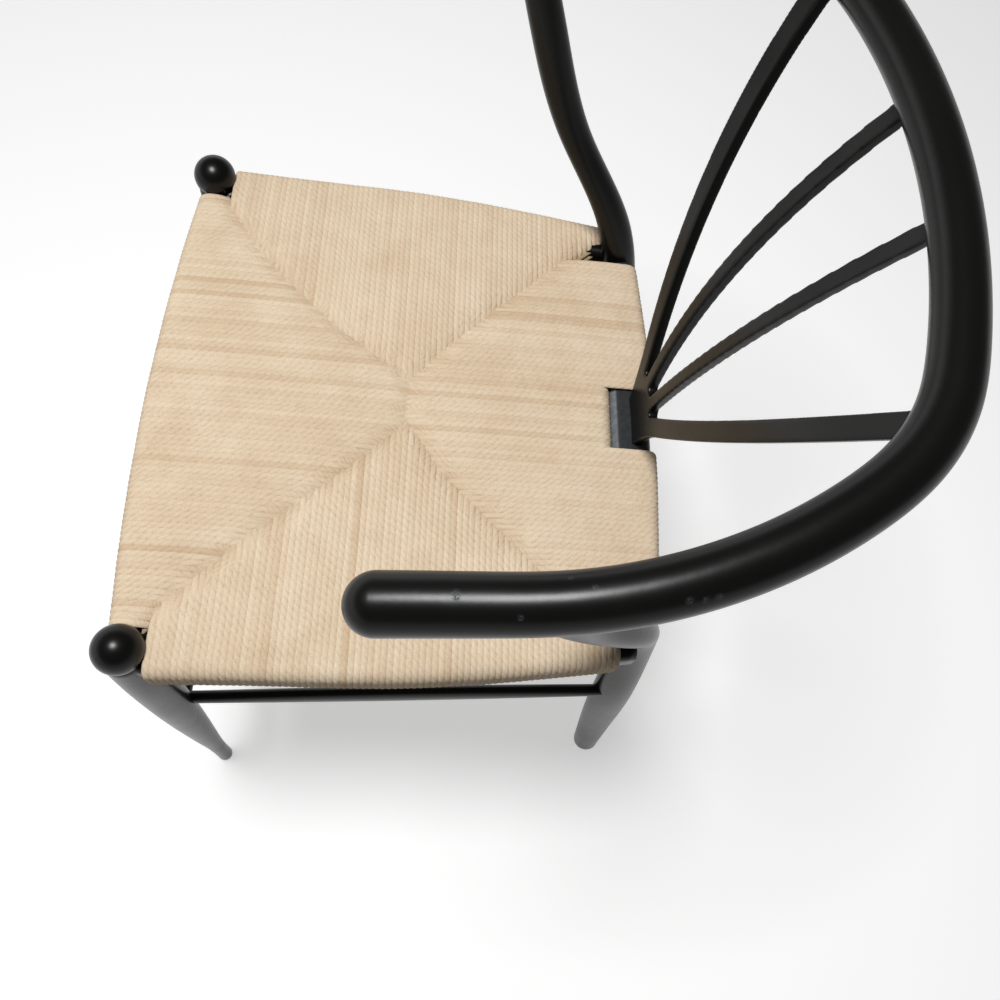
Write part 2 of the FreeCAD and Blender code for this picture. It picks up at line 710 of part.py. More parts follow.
def stuffing(name, corners):
    """A card pad in one of the seat's four pockets."""
    bottom = mm.seat_rail_top - mm.seat_rail_height
    level = [V(point.x, point.y, bottom) for point in corners]
    face = Part.Face(Part.makePolygon(level + level[:1])).makeOffset2D(-mm.stuffing_gap, join=2)
    return feature(name, face.extrude(V(0, 0, mm.seat_rail_height)))


def glide(name, foot):
    """A nail-on floor glide: a low round pad with a sunk hole."""
    body = doc.addObject("PartDesign::Body", name)
    sketch = new_sketch(body, f"{name}_profile", "XZ_Plane")
    ledge = "nail_recess + nail_head_height"
    bore = "nail_head_radius + joint_gap"
    sink = "glide_round * (1 - cos(45 deg))"
    corners = [(bore, "0", None)]
    corners.append(("glide_radius - glide_round", "0", (f"glide_radius - {sink}", sink)))
    corners.append(("glide_radius", "glide_round", None))
    corners.append(("glide_radius", "glide_height", None))
    corners.append(("nail_radius", "glide_height", None))
    corners.append(("nail_radius", ledge, None))
    corners.append((bore, ledge, None))
    outline(sketch, corners)
    revolved(body, sketch, f"{name}_turn")
    body.Placement = FreeCAD.Placement(V(foot.x, foot.y, 0), FreeCAD.Rotation())
    return body


def nail(name, foot):
    """The glide's nail: a flat head and a straight shank."""
    body = doc.addObject("PartDesign::Body", name)
    sketch = new_sketch(body, f"{name}_profile", "XZ_Plane")
    corners = [("0", "nail_recess", None), ("nail_head_radius", "nail_recess", None)]
    corners.append(("nail_head_radius", "nail_recess + nail_head_height", None))
    corners.append(("nail_radius", "nail_recess + nail_head_height", None))
    corners.append(("nail_radius", "nail_length", None))
    corners.append(("0", "nail_length", None))
    outline(sketch, corners)
    revolved(body, sketch, f"{name}_turn")
    body.Placement = FreeCAD.Placement(V(foot.x, foot.y, 0), FreeCAD.Rotation())
    return body


# Blanks: the pieces before their joints are cut.
rail_blank = top_rail_blank()
front_blanks = {name: front_leg_blank(name, side) for name, side in SIDES}
rear_blanks = {name: rear_leg_blank(name, side) for name, side in SIDES}
doc.recompute()

front_shoulder = "ball_spread - neck_radius / 2"
rear_shoulder = "knee_spread - knee_half_width / 2"
front_middle = at(0, 0, seat_rail_middle)
rear_middle = at(0, mm.knee_back, seat_rail_middle)
front_rail_blank = cross_rail_blank("front_rail", front_middle, front_shoulder, "front_rail_belly", "front_rail_inner")
rear_rail_blank = cross_rail_blank("rear_rail", rear_middle, rear_shoulder, "rear_rail_inner", "rear_rail_belly")
side_rail_blanks = {name: side_rail_blank(name, side) for name, side in SIDES}

# The splat and the bar that its prongs enter.
splat_common = doc.addObject("Part::Common", "splat_common")
splat_common.Base = splat_blank()
splat_common.Tool = splat_outline()
splat = cut("back_splat", splat_common, above_prongs())
doc.recompute()

nodes = {"back_splat": splat}
mortises = {"front_left": [], "rear_left": [], "rear_right": []}


def joint(leg, bar, end, inward, radius):
    """Note the mortise that a bar's tenon needs in a leg; the right front leg mirrors the left one."""
    if leg in mortises:
        mortises[leg].append(mortise(f"{bar}_{leg}_mortise", end, inward, radius))


# Seat rails: shoulders coped to the legs, and a round tenon at each end, staggered in height.
low = V(0, 0, -mm.seat_tenon_stagger)
high = V(0, 0, mm.seat_tenon_stagger)


def tenon(name, surface, outward):
    """A seat rail's tenon: it starts inside the rail and ends its length past the leg's surface."""
    end = surface + outward * mm.seat_tenon_length
    root = "seat_tenon_length + neck_radius * 2"
    return end, rod(name, end, outward * -1, "seat_tenon_radius", root)


for row, blank in (("front", front_rail_blank), ("rear", rear_rail_blank)):
    legs = [front_blanks[name] if row == "front" else rear_blanks[name] for name, _ in SIDES]
    coped = cut(f"{row}_rail_coped", blank, *legs)
    tenons = []
    for name, side in SIDES:
        leg = legs[0] if side == 1 else legs[1]
        centre, half_wide, _ = section(leg.Shape, seat_rail_middle)
        line = blank.Placement.Base + low
        surface = V(centre.x - side * half_wide, line.y, line.z)
        end, piece = tenon(f"{row}_rail_tenon_{name}", surface, V(side, 0, 0))
        tenons.append(piece)
        joint(f"{row}_{name}", "seat_rail", end, V(-side, 0, 0), "seat_tenon_radius")
    nodes[f"{row}_seat_rail"] = fuse(f"{row}_seat_rail", coped, *tenons)

for name, side in SIDES:
    front_point = V(side * side_rail_front.x, side_rail_front.y, seat_rail_middle)
    rear_point = V(side * side_rail_rear.x, side_rail_rear.y, seat_rail_middle)
    along = (rear_point - front_point).normalize()
    coped = cut(f"side_rail_coped_{name}", side_rail_blanks[name], front_blanks[name], rear_blanks[name])
    tenons = []
    _, front_half, _ = section(front_blanks[name].Shape, seat_rail_middle)
    _, _, rear_half = section(rear_blanks[name].Shape, seat_rail_middle)
    rail_ends = (("front", front_point, front_half, along * -1), ("rear", rear_point, rear_half, along))
    for row, point, half, outward in rail_ends:
        surface = point + high - outward * half
        end, piece = tenon(f"side_rail_tenon_{row}_{name}", surface, outward)
        tenons.append(piece)
        joint(f"{row}_{name}", "side_rail", end, outward * -1, "seat_tenon_radius")
    nodes[f"side_seat_rail_{name}"] = fuse(f"side_seat_rail_{name}", coped, *tenons)

# Stretchers between the legs.
for name, side in SIDES:
    front_centre, front_half, _ = section(front_blanks[name].Shape, mm.side_stretcher_height)
    rear_centre, _, rear_half = section(rear_blanks[name].Shape, mm.side_stretcher_height)
    front_point = front_centre - V(side * mm.side_stretcher_front_inset, 0, 0)
    rear_point = rear_centre + V(side * mm.side_stretcher_rear_outset, 0, 0)
    along = (rear_point - front_point).normalize()
    start = front_point + along * (front_half - mm.stretcher_tenon_length)
    stop = rear_point - along * (rear_half - mm.stretcher_tenon_length)
    joint(f"front_{name}", "side_stretcher", start, along, "stretcher_tenon_radius")
    joint(f"rear_{name}", "side_stretcher", stop, along * -1, "stretcher_tenon_radius")
    legs = [front_blanks[name], rear_blanks[name]]
    nodes[f"side_stretcher_{name}"] = stretcher(f"side_stretcher_{name}", start, stop, legs)

for row, blanks in (("front", front_blanks), ("rear", rear_blanks)):
    ends = []
    for name, side in SIDES:
        centre, half_wide, _ = section(blanks[name].Shape, mm.cross_stretcher_height)
        end = centre - V(side * (half_wide - mm.stretcher_tenon_length), 0, 0)
        ends.append(end)
        joint(f"{row}_{name}", "cross_stretcher", end, V(-side, 0, 0), "stretcher_tenon_radius")
    nodes[f"{row}_stretcher"] = stretcher(f"{row}_stretcher", ends[1], ends[0], list(blanks.values()))

# Feet: a glide and a nail under every leg.
nails = []
floor_cut = add("Part::Box", "floor_cut", Length="arm_spread * 4", Width="arm_spread * 4", Height="overrun")
corner = V(-2 * mm.arm_spread, -2 * mm.arm_spread, mm.glide_height - mm.overrun)
floor_cut.Placement = FreeCAD.Placement(corner, FreeCAD.Rotation())
for name, side in SIDES:
    feet = {"front": front_leg_axis(side, mm.glide_height), "rear": rear_leg_stations(side)[0][0]}
    for row, foot in feet.items():
        nodes[f"glide_{row}_{name}"] = glide(f"glide_{row}_{name}", foot)
        pin = nail(f"nail_{row}_{name}", foot)
        nails.append(pin)
        if f"{row}_{name}" in mortises:
            mortises[f"{row}_{name}"].append(pin)
doc.recompute()
nodes["glide_nails"] = feature("glide_nails", Part.Compound([pin.Shape for pin in nails]))

# Rear legs meet the arms: a saddle under the bar and a tenon in line with the leg.
arm_holes = []
for name, side in SIDES:
    stations = rear_leg_stations(side)
    head = stations[-1][0]
    along = (head - stations[-2][0]).normalize()
    peg = rod(f"arm_tenon_{name}", head, along * -1, "arm_tenon_radius", "arm_tenon_root")
    saddle = cut(f"rear_saddle_{name}", rear_blanks[name], rail_blank)
    joined = fuse(f"rear_joined_{name}", saddle, peg)
    nodes[f"rear_leg_{name}"] = cut(f"rear_leg_{name}", joined, *mortises[f"rear_{name}"])
    arm_holes.append(rod(f"arm_mortise_{name}", head, along * -1, "arm_tenon_radius + joint_gap", "arm_tenon_root"))

# Front legs: the right one is the left one's mirror image.
nodes["front_leg_left"] = cut("front_leg_left", front_blanks["left"], floor_cut, *mortises["front_left"])
nodes["front_leg_right"] = doc.addObject("Part::Mirroring", "front_leg_right")
nodes["front_leg_right"].Source = nodes["front_leg_left"]
nodes["front_leg_right"].Normal = V(1, 0, 0)

nodes["top_rail"] = cut("top_rail", rail_blank, splat, *arm_holes)
nodes["rear_seat_rail"] = cut("rear_seat_rail_slotted", nodes["rear_seat_rail"], splat)

# The seat.
doc.recompute()
nodes["seat_weave"] = seat_weave([front_rail_blank, rear_rail_blank, *side_rail_blanks.values()])
front, rear, seam = pocket_corners()
nodes["stuffing_front"] = stuffing("stuffing_front", [flip(front), front, seam, flip(seam)])
nodes["stuffing_rear"] = stuffing("stuffing_rear", [flip(seam), seam, rear, flip(rear)])
nodes["stuffing_left"] = stuffing("stuffing_left", [seam, front, rear])
nodes["stuffing_right"] = stuffing("stuffing_right", [flip(seam), flip(rear), flip(front)])
doc.recompute()

# Check everything before any file is written.
for thing in doc.Objects:
    if "Invalid" in thing.State or "Error" in thing.State:
        raise RuntimeError(f"{thing.Name} failed: {thing.State}")
for name, thing in nodes.items():
    thing.Label = name
    shape = thing.Shape
    if shape.isNull() or not shape.isValid():
        raise RuntimeError(f"{name} has no valid shape")
    print(f"{name}: {len(shape.Solids)} solid(s), {shape.Volume / 1000:.1f} cm3")

os.makedirs("parts", exist_ok=True)
for name, thing in nodes.items():
    thing.Shape.exportStep(f"parts/{name}.step")
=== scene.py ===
"""Dresses the corded armchair: lacquered wood, wound paper cord, card stuffing and a plain studio.

Lengths in the tables are millimetres; meshes are made in metres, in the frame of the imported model.
X runs to the sitter's left, Y to the back and Z up. Depths count from the front legs' axis.
"""
import math

import bmesh
import bpy
import numpy as np
from mathutils import Matrix, Vector


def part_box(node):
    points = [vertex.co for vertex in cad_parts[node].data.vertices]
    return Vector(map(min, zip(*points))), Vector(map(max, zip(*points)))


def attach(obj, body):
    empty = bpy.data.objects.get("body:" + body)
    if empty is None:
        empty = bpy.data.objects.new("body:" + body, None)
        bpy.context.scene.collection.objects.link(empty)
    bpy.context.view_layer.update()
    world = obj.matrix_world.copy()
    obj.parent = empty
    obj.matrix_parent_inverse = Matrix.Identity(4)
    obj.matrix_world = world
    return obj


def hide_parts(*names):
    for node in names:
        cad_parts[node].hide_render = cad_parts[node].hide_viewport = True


bl_info = {
    "name": "Corded Armchair",
    "version": (1, 0, 0),
    "blender": (4, 5, 0),
    "location": "View3D > Sidebar > Armchair",
    "description": "Builds the wood, cord, stuffing and studio of a corded armchair round its packed frame",
    "category": "Add Mesh",
}

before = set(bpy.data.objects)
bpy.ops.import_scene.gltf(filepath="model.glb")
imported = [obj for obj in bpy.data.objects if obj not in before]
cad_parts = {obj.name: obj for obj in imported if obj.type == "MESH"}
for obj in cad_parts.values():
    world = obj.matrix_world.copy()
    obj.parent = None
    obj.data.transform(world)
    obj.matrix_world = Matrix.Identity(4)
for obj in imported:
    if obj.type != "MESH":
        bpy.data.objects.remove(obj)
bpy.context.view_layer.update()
MM = 0.001


def node_middle(name):
    """Middle of a CAD node's box, in millimetres."""
    low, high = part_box(name)
    return np.array((low + high) / 2) / MM


# Places read from the frame
FRONT_FOOT = (231.2, 4.5)
FRONT_LINE = node_middle("glide_front_left")[1] - FRONT_FOOT[1]
SEAT_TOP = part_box("seat_weave")[1].z / MM
SEAT_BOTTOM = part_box("seat_weave")[0].z / MM
RAIL_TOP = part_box("front_seat_rail")[1].z / MM
RAIL_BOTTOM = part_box("front_seat_rail")[0].z / MM

# Bent rail: (radius, turn) of its bends, (distance from the tip, added radius) of its swell
ARM_SPREAD = 256.7
ARM_TIP = (183.9, 686.2)
RAIL_TILT = math.radians(12.1)
ARM_STRAIGHT = 71.7
ARM_STEPS = 40
ARM_TOE = (1.3, 65.0)
RAIL_BENDS = ((270.0, math.radians(37.5)), (112.0, math.radians(36.0)))
RAIL_STEP = 2.5
RAIL_SIDES = 56
RAIL_BLEND = 24.0
RAIL_SWELL = ((0.0, 0.85), (30.0, 0.55), (70.0, 0.1), (140.0, -0.1), (250.0, -0.3), (320.0, -0.5),
              (470.0, -0.5))
DOME_ANGLES = (86, 4, 14)

# Worn spots on the left arm: place and reach
SCUFFS = (((256, -14, 709), 2.6), ((258, -14, 709), 2.2), ((266, 14, 711), 2.0), ((249, 35, 717), 1.8),
          ((254, 45, 721), 1.8), ((259, 85, 725), 2.6), ((258, 92, 725), 2.2), ((257, 98, 726), 2.6))

# Front legs: (height, radius) of the taper; rim and groove as (radius, height) added to the foot's and neck's
BALL_HEIGHT = 444.0
BALL_SPREAD = 222.3
BALL_RADIUS = 18.3
NECK_RADIUS = 16.5
FOOT_HEIGHT = 4.0
FRONT_TAPER = ((0.0, 7.9), (54.0, 8.1), (116.0, 10.7), (176.0, 13.4), (236.0, 15.6), (296.0, 17.0),
               (356.0, 17.5), (400.0, 17.1), (430.0, 16.4))
TAPER_ENDS = (1.4, 1.0)
TAPER_STEPS = 60
BALL_STEPS = 28
BALL_TURN = math.radians(88.5)
FOOT_RIM = ((-1.4, 0.0), (-0.4, 0.35))
NECK_GROOVE = ((-0.6, -0.4), (-0.5, 0.1))
LEG_SIDES = 48

# Rear legs: (height, across, back, half width, half depth); (rise, share of the section) of the round foot
REAR_SECTIONS = np.array((
    (4.0, 200.4, 432.8, 13.1, 14.4),
    (140.0, 195.4, 417.8, 13.5, 18.7),
    (280.0, 191.7, 401.9, 13.7, 19.8),
    (425.0, 184.5, 384.2, 13.7, 16.2),
    (470.1, 197.3, 366.4, 13.7, 16.1),
    (540.0, 216.3, 318.3, 12.8, 15.0),
    (620.0, 235.2, 280.7, 12.4, 15.0),
    (700.0, 256.3, 249.4, 12.4, 13.0),
))
REAR_STEPS = 110
REAR_FOOT = ((0.0, 0.88), (0.5, 0.96), (2.0, 1.0))

# Splat: (across, height, middle of the arc to the next point) of its flat outline's left half
SPLAT_FRONT = 383.5
SPLAT_BEND_START = 440.0
SPLAT_BEND = 570.0
SPLAT_PLAN = 480.0
SPLAT_THICKNESS = 9.0
SPLAT_VOXEL = 1.35
SPLAT_ARC_STEPS = 60
SPLAT_HALF = (
    (23.0, 423.0, None),
    (23.0, 437.0, (30.6, 461.0)),
    (42.2, 485.0, (113.2, 609.1)),
    (176.4, 738.0, None),
    (159.8, 738.0, (96.4, 609.1)),
    (24.2, 485.0, (20.2, 480.5)),
    (16.1, 485.0, (37.1, 609.1)),
    (52.2, 742.0, None),
    (38.7, 742.0, (25.1, 609.1)),
    (5.1, 485.0, (0.0, 483.5)),
)

# Stretchers: (share of the length, share of the swell); side bars stand a little off the legs' axes
SIDE_STRETCHER_HEIGHT = 270.0
CROSS_STRETCHER_HEIGHT = 235.0
SIDE_STRETCHER_SHIFT = (-5.5, 4.5)
STRETCHER_END = 5.5
STRETCHER_SWELL = (0.8, 7.0)
STRETCHER_SHARES = ((0.0, 0.0), (0.2, 0.62), (0.5, 1.0), (0.8, 0.62), (1.0, 0.0))
STRETCHER_SIDES = 32
BAR_STEPS = 60

# Seat rails: half length, depth, and how far the middle bulges inwards and outwards
REAR_AXIS = 384.2
FRONT_BAR = (212.0, 0.0, 4.5, 9.0)
REAR_BAR = (177.0, REAR_AXIS, 8.0, 7.7)
BAR_HALF = 9.5
BAR_ROUND = 8.0
BAR_CORNER_STEPS = 7
SIDE_BAR_ENDS = (8.0, 378.0)
SIDE_BAR_ACROSS = (223.0, 190.0)
SIDE_BAR_INSIDE = 10.0
SIDE_BAR_CORNER = (8.0, 14.0)
CORD_LAYER = 4.7

# Corded seat: edges, and the valleys between the quarters as (across, depth)
SIDE_EDGE = ((17.8, 240.4), (93.7, 238.4), (190.4, 236.3), (276.7, 228.5), (363.0, 216.4))
FRONT_EDGE = ((204.4, -13.2), (0.0, -23.2))
REAR_EDGE = ((168.0, 398.4), (0.0, 406.1))
EDGE_ROUND = 11.0
EDGE_STEPS = 6
REAR_RAIL_FRONT = 366.4
BARE_HALF = 29.5
SEAM_BACK = 190.0
NEAR_VALLEY = ((205.0, 7.4), (183.9, 25.1), (126.9, 77.8), (78.6, 133.3), (18.8, 191.4))
NEAR_BACK_VALLEY = ((18.8, 191.4), (63.0, 219.9), (96.2, 253.4), (128.5, 285.8), (168.0, 325.0),
                    (200.0, 357.5))
FAR_VALLEY = ((-205.0, 7.4), (-190.0, 18.0), (-131.1, 60.7), (-74.6, 118.6), (-22.1, 189.0))
FAR_BACK_VALLEY = ((-22.1, 189.0), (-59.3, 223.3), (-107.1, 266.6), (-162.9, 322.5), (-197.0, 357.5))
# Painted shade that darkens each cord towards its valley, where it dives under the crossing cords, fades over
# this distance
CREASE_FADE = 6.0
DARK_SHARE = 0.05
DARK_TONES = (0.4, 0.7)
PALE_TONES = (0.0, 0.3)
# Range of that painted crease shade's strength, drawn for each cord
CREASE_SHADES = (0.0, 0.5)
CROWN = 0.9
TAIL_DROPS = (5.0, 1.4)

# How far a cord runs on past its valley, how deep it dips there, and over what distance it rises again
SIDE_DIP = (4.0, 1.4, 9.0)
CROSS_DIP = (7.0, 1.5, 12.0)

# Points along a run of cord: fewest, most, and the distance between two of them
RUN_STEPS = (4, 14, 14.0)

# Inputs of the two node groups, beside their geometry and material
CORD_INPUTS = {"Half Width": "Float", "Half Thickness": "Float", "Level": "Vector", "Stray": "Float",
               "Seed": "Float", "Sides": "Int"}
CARD_INPUTS = {"Layers": "Int", "Spacing": "Float", "Shift": "Float", "Seed": "Int"}

# Card pockets as (across, depth), and (share of the size, share of the height) of one folded layer
POCKETS = {
    "stuffing_front": ((-213, 11), (213, 11), (20, 186), (-20, 186)),
    "stuffing_rear": ((-20, 192), (20, 192), (176, 361), (-176, 361)),
    "stuffing_left": ((216, 14), (184, 358), (24, 189)),
    "stuffing_right": ((-216, 14), (-24, 189), (-184, 358)),
}
CARD_FOLD = ((0.97, 0.03), (0.985, 0.25), (0.985, 0.75), (0.97, 0.97))
CARD_GAP = 1.0
CARD_SHIFT = 0.0015

# Studio: the camera's place is in millimetres from the front line; the lamp's places are metres
CAMERA_PLACE = (372.65, 194.44, 1059.81)
CAMERA_RIGHT = (-0.01387, 0.99185, 0.12668)
CAMERA_DOWN = (0.90832, 0.06546, -0.41313)
CAMERA_FORWARD = (-0.41805, 0.10934, -0.90182)
CAMERA_LENS = 30.572
KEY_PLACE = (0.127, -0.419, 2.25)
KEY_TARGET = (-0.03, 0.0, 0.44)
FLOOR_HALF = 6.0
WORLD_FACING = (-0.6, -0.8, 0.0)
WORLD_TURN = (-0.4, 0.8)
WORLD_HORIZON = (0.55, 1.15)
WORLD_REACH = (0.12, 0.5)
WORLD_FLAT = 0.04
WORLD_TOP = 0.08


def colour_prop(name, description, default):
    """A colour that a user may change."""
    return bpy.props.FloatVectorProperty(name=name, description=description, default=default, min=0, max=1,
                                         size=3, subtype="COLOR")


def length_prop(name, description, default, low, high):
    """A length that a user may change."""
    return bpy.props.FloatProperty(name=name, description=description, default=default, min=low, max=high,
                                   subtype="DISTANCE", unit="LENGTH")


def share_prop(name, description, default, low=0.0, high=1.0):
    """A share that a user may change."""
    return bpy.props.FloatProperty(name=name, description=description, default=default, min=low, max=high,
                                   subtype="FACTOR")


class ChairWood(bpy.types.PropertyGroup):
    """Sizes and finish of the lacquered wood."""

    rail_radius: length_prop("Rail radius", "Half the thickness of the bent top rail", 0.0147, 0.008, 0.03)
    edge_softness: bpy.props.IntProperty(
        name="Edge softness", description="Smoothing passes that round the splat's edges", default=5, min=0,
        max=12)
    lacquer: colour_prop("Lacquer", "Colour of the lacquer", (0.0034, 0.0034, 0.0031))
    scuff: colour_prop("Scuff", "Colour of the small worn spots on the arm", (0.03, 0.034, 0.042))
    # The bare middle of the rear seat rail is paler grey lacquer; the paler strip along its front edge is a
    # painted highlight.
    bare_grey_lacquer: colour_prop("Rubbed lacquer", "Colour of the bare middle of the rear seat rail",
                        (0.03, 0.032, 0.034))
    painted_edge_highlight: colour_prop("Rubbed edge", "Colour of that rail's worn front edge", (0.17, 0.185, 0.195))
    gloss: share_prop("Roughness", "Roughness of the satin lacquer", 0.28, 0.05, 0.9)


class ChairSeat(bpy.types.PropertyGroup):
    """Sizes and colours of the corded seat."""

    cord_pitch: length_prop("Cord pitch", "Distance from cord to cord along a rail", 0.00473, 0.003, 0.008)
    cord_width: length_prop("Cord half width", "Half a wound cord's width; neighbours press into each other",
                            0.0034, 0.001, 0.005)
    cord_thickness: length_prop("Cord half thickness", "Half a wound cord's thickness", 0.0019, 0.001, 0.004)
    stray: length_prop("Stray", "How far a cord wanders from its line", 0.0009, 0.0, 0.003)
    cord_light: colour_prop("Pale cord", "Colour of the cord where it is clean", (0.75, 0.615, 0.45))
    cord_dark: colour_prop("Dark cord", "Colour of darker lengths of cord", (0.59, 0.43, 0.28))
    ply_spacing: length_prop("Ply spacing", "Distance along the cord from one ply to the next", 0.0065, 0.002,
                             0.02)
    # Painted shade in the grooves between plies, on the crown and on the flanks of each cord.
    ply_shade: share_prop("Ply shade", "Darkness of the groove between two plies on the cord's crown", 0.07)
    flank_shade: share_prop("Flank shade", "Added darkness of that groove on the cord's flanks", 0.22)
    card_layers: bpy.props.IntProperty(
        name="Card layers", description="Layers of folded card in each pocket", default=6, min=1, max=12)
    card: colour_prop("Card", "Colour of the folded card", (0.42, 0.31, 0.19))


class ChairStudio(bpy.types.PropertyGroup):
    """Floor and light."""

    floor: colour_prop("Floor", "Colour of the floor", (0.7, 0.7, 0.7))
    floor_glow: share_prop("Floor paleness", "How pale the floor is where no lamp reaches it, as the camera "
                           "and mirrored views see it", 0.5)
    floor_bounce: share_prop("Floor bounce", "Share of the light that the floor sends up to the chair", 0.3)
    key_power: bpy.props.FloatProperty(
        name="Key power", description="Power of the soft lamp", default=35.0, min=0.0, subtype="POWER",
        unit="POWER")
    key_radius: length_prop("Key radius", "Radius of the round soft lamp", 0.3, 0.05, 2.0)


def spline(knots, values, wanted):
    """Natural cubic curve through rows of values, read at the wanted places."""
    knots, values, wanted = (np.asarray(part, float) for part in (knots, values, wanted))
    steps = np.diff(knots)
    slopes = np.diff(values, axis=0) / steps[:, None]
    matrix = np.eye(len(knots))
    right = np.zeros_like(values)
    for row in range(1, len(knots) - 1):
        matrix[row, row - 1:row + 2] = steps[row - 1], 2 * (steps[row - 1] + steps[row]), steps[row]
        right[row] = 6 * (slopes[row] - slopes[row - 1])
    bend = np.linalg.solve(matrix, right)
    span = np.clip(np.searchsorted(knots, wanted) - 1, 0, len(steps) - 1)
    width = steps[span][:, None]
    before = (knots[span + 1] - wanted)[:, None] / width
    after = 1 - before
    curve = (before ** 3 - before) * bend[span] + (after ** 3 - after) * bend[span + 1]
    return before * values[span] + after * values[span + 1] + curve * width ** 2 / 6


def curve(table, wanted):
    """Natural cubic curve through (place, value) rows, read at the wanted places."""
    knots, values = np.array(table).T
    return spline(knots, values[:, None], wanted)[:, 0]


def arc(start, via, stop, count):
    """Points of the arc through three points, without the last one."""
    (ax, ay), (bx, by), (cx, cy) = start, via, stop
    turn = 2 * (ax * (by - cy) + bx * (cy - ay) + cx * (ay - by))
    sizes = [x * x + y * y for x, y in (start, via, stop)]
    x = (sizes[0] * (by - cy) + sizes[1] * (cy - ay) + sizes[2] * (ay - by)) / turn
    y = (sizes[0] * (cx - bx) + sizes[1] * (ax - cx) + sizes[2] * (bx - ax)) / turn
    radius = math.hypot(ax - x, ay - y)
    first = math.atan2(ay - y, ax - x)
    swing = math.atan2(cy - y, cx - x) - first
    middle = (math.atan2(by - y, bx - x) - first) % (2 * math.pi)
    swing %= 2 * math.pi
    if middle > swing:
        swing -= 2 * math.pi
    angles = first + swing * np.arange(count) / count
    return np.column_stack((x + radius * np.cos(angles), y + radius * np.sin(angles)))


def skin(rings):
    """Vertices and faces of a closed skin over rings of points."""
    count, around = rings.shape[:2]
    faces = []
    for ring in range(count - 1):
        for step in range(around):
            side = (step + 1) % around
            here = ring * around
            faces.append((here + step, here + side, here + around + side, here + around + step))
    faces.append(tuple(range(around)))
    faces.append(tuple(range((count - 1) * around, count * around)))
    return rings.reshape(-1, 3), faces


def ovals(centres, wide, high, half_wide, half_high, sides):
    """Rings of oval sections; wide and high are the directions of the half sizes."""
    turns = np.linspace(0, 2 * math.pi, sides, endpoint=False)
    cos, sin = np.cos(turns)[None, :, None], np.sin(turns)[None, :, None]
    wide, high = (np.broadcast_to(way, centres.shape)[:, None, :] for way in (wide, high))
    half_wide, half_high = half_wide[:, None, None], half_high[:, None, None]
    return centres[:, None, :] + half_wide * cos * wide + half_high * sin * high


def mesh_from(name, shell):
    """A mesh in metres from points in millimetres and faces, with its faces outwards."""
    points, faces = shell
    mesh = bpy.data.meshes.new(name)
    mesh.from_pydata(((points + (0.0, FRONT_LINE, 0.0)) * MM).tolist(), [], faces)
    shape = bmesh.new()
    shape.from_mesh(mesh)
    bmesh.ops.recalc_face_normals(shape, faces=shape.faces)
    shape.to_mesh(mesh)
    shape.free()
    mesh.shade_smooth()
    return mesh


def add(name, data):
    """A new object in the scene."""
    made = bpy.data.objects.new(name, data)
    bpy.context.scene.collection.objects.link(made)
    return made


def applied(name, source):
    """Plain mesh of an object with its modifiers applied; the object and its own mesh go."""
    mesh = source.data
    depsgraph = bpy.context.evaluated_depsgraph_get()
    result = bpy.data.meshes.new_from_object(source.evaluated_get(depsgraph))
    bpy.data.objects.remove(source)
    bpy.data.meshes.remove(mesh)
    result.name = name
    return result


def place(mesh, material, slot, *nodes):
    """Make the mesh a piece of the chair that stands for CAD nodes."""
    piece = add(mesh.name, mesh)
    mesh.materials.clear()
    mesh.materials.append(material)
    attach(piece, "root")
    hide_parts(*nodes)


def fill(tree, made, inputs):
    """Link or set a node's inputs."""
    for key, source in inputs.items():
        if isinstance(source, bpy.types.NodeSocket):
            tree.links.new(source, made.inputs[key])
        else:
            made.inputs[key].default_value = source


def node(tree, kind, inputs=None, **settings):
    """Add a node, set its settings and fill its inputs."""
    made = tree.nodes.new(kind)
    for key, setting in settings.items():
        setattr(made, key, setting)
    fill(tree, made, inputs or {})
    return made


def wire(tree, kind, inputs=None, **settings):
    """First output of an added node."""
    return node(tree, kind, inputs, **settings).outputs[0]


def calc(tree, operation, *values, **settings):
    """Result of a math node over sockets and numbers."""
    return wire(tree, "ShaderNodeMath", dict(enumerate(values)), operation=operation, **settings)


def noise(tree, spot, scale, detail, roughness=0.5):
    """Noise at a place, from 0 to 1."""
    return wire(tree, "ShaderNodeTexNoise", {"Vector": spot, "Scale": scale, "Detail": detail,
                                             "Roughness": roughness})


def ramp(tree, value, start, stop, low=0.0, high=1.0, **settings):
    """The value mapped from between start and stop to between low and high."""
    return wire(tree, "ShaderNodeMapRange", {"Value": value, "From Min": start, "From Max": stop,
                                             "To Min": low, "To Max": high}, **settings)


def scaled(tree, vector, factor):
    """A vector or colour times a number."""
    return wire(tree, "ShaderNodeVectorMath", {0: vector, "Scale": factor}, operation="SCALE")


def mixed(tree, share, first, second):
    """One colour where the share is 0, the other where it is 1."""
    return node(tree, "ShaderNodeMix", {0: share, 6: (*first, 1), 7: (*second, 1)},
                data_type="RGBA").outputs[2]


def relief(tree, height, strength, distance):
    """Normal of a surface with a fine relief."""
    return wire(tree, "ShaderNodeBump", {"Strength": strength, "Distance": distance, "Height": height})


def finish(name, paint, *details):
    """The material of that name; paint adds its nodes and returns the shader's inputs when it is new."""
    found = bpy.data.materials.get(name)
    if found:
        return found
    made = bpy.data.materials.new(name)
    made.use_nodes = True
    tree = made.node_tree
    spot = node(tree, "ShaderNodeTexCoord").outputs["Object"]
    fill(tree, tree.nodes["Principled BSDF"], paint(tree, spot, *details))
    return made


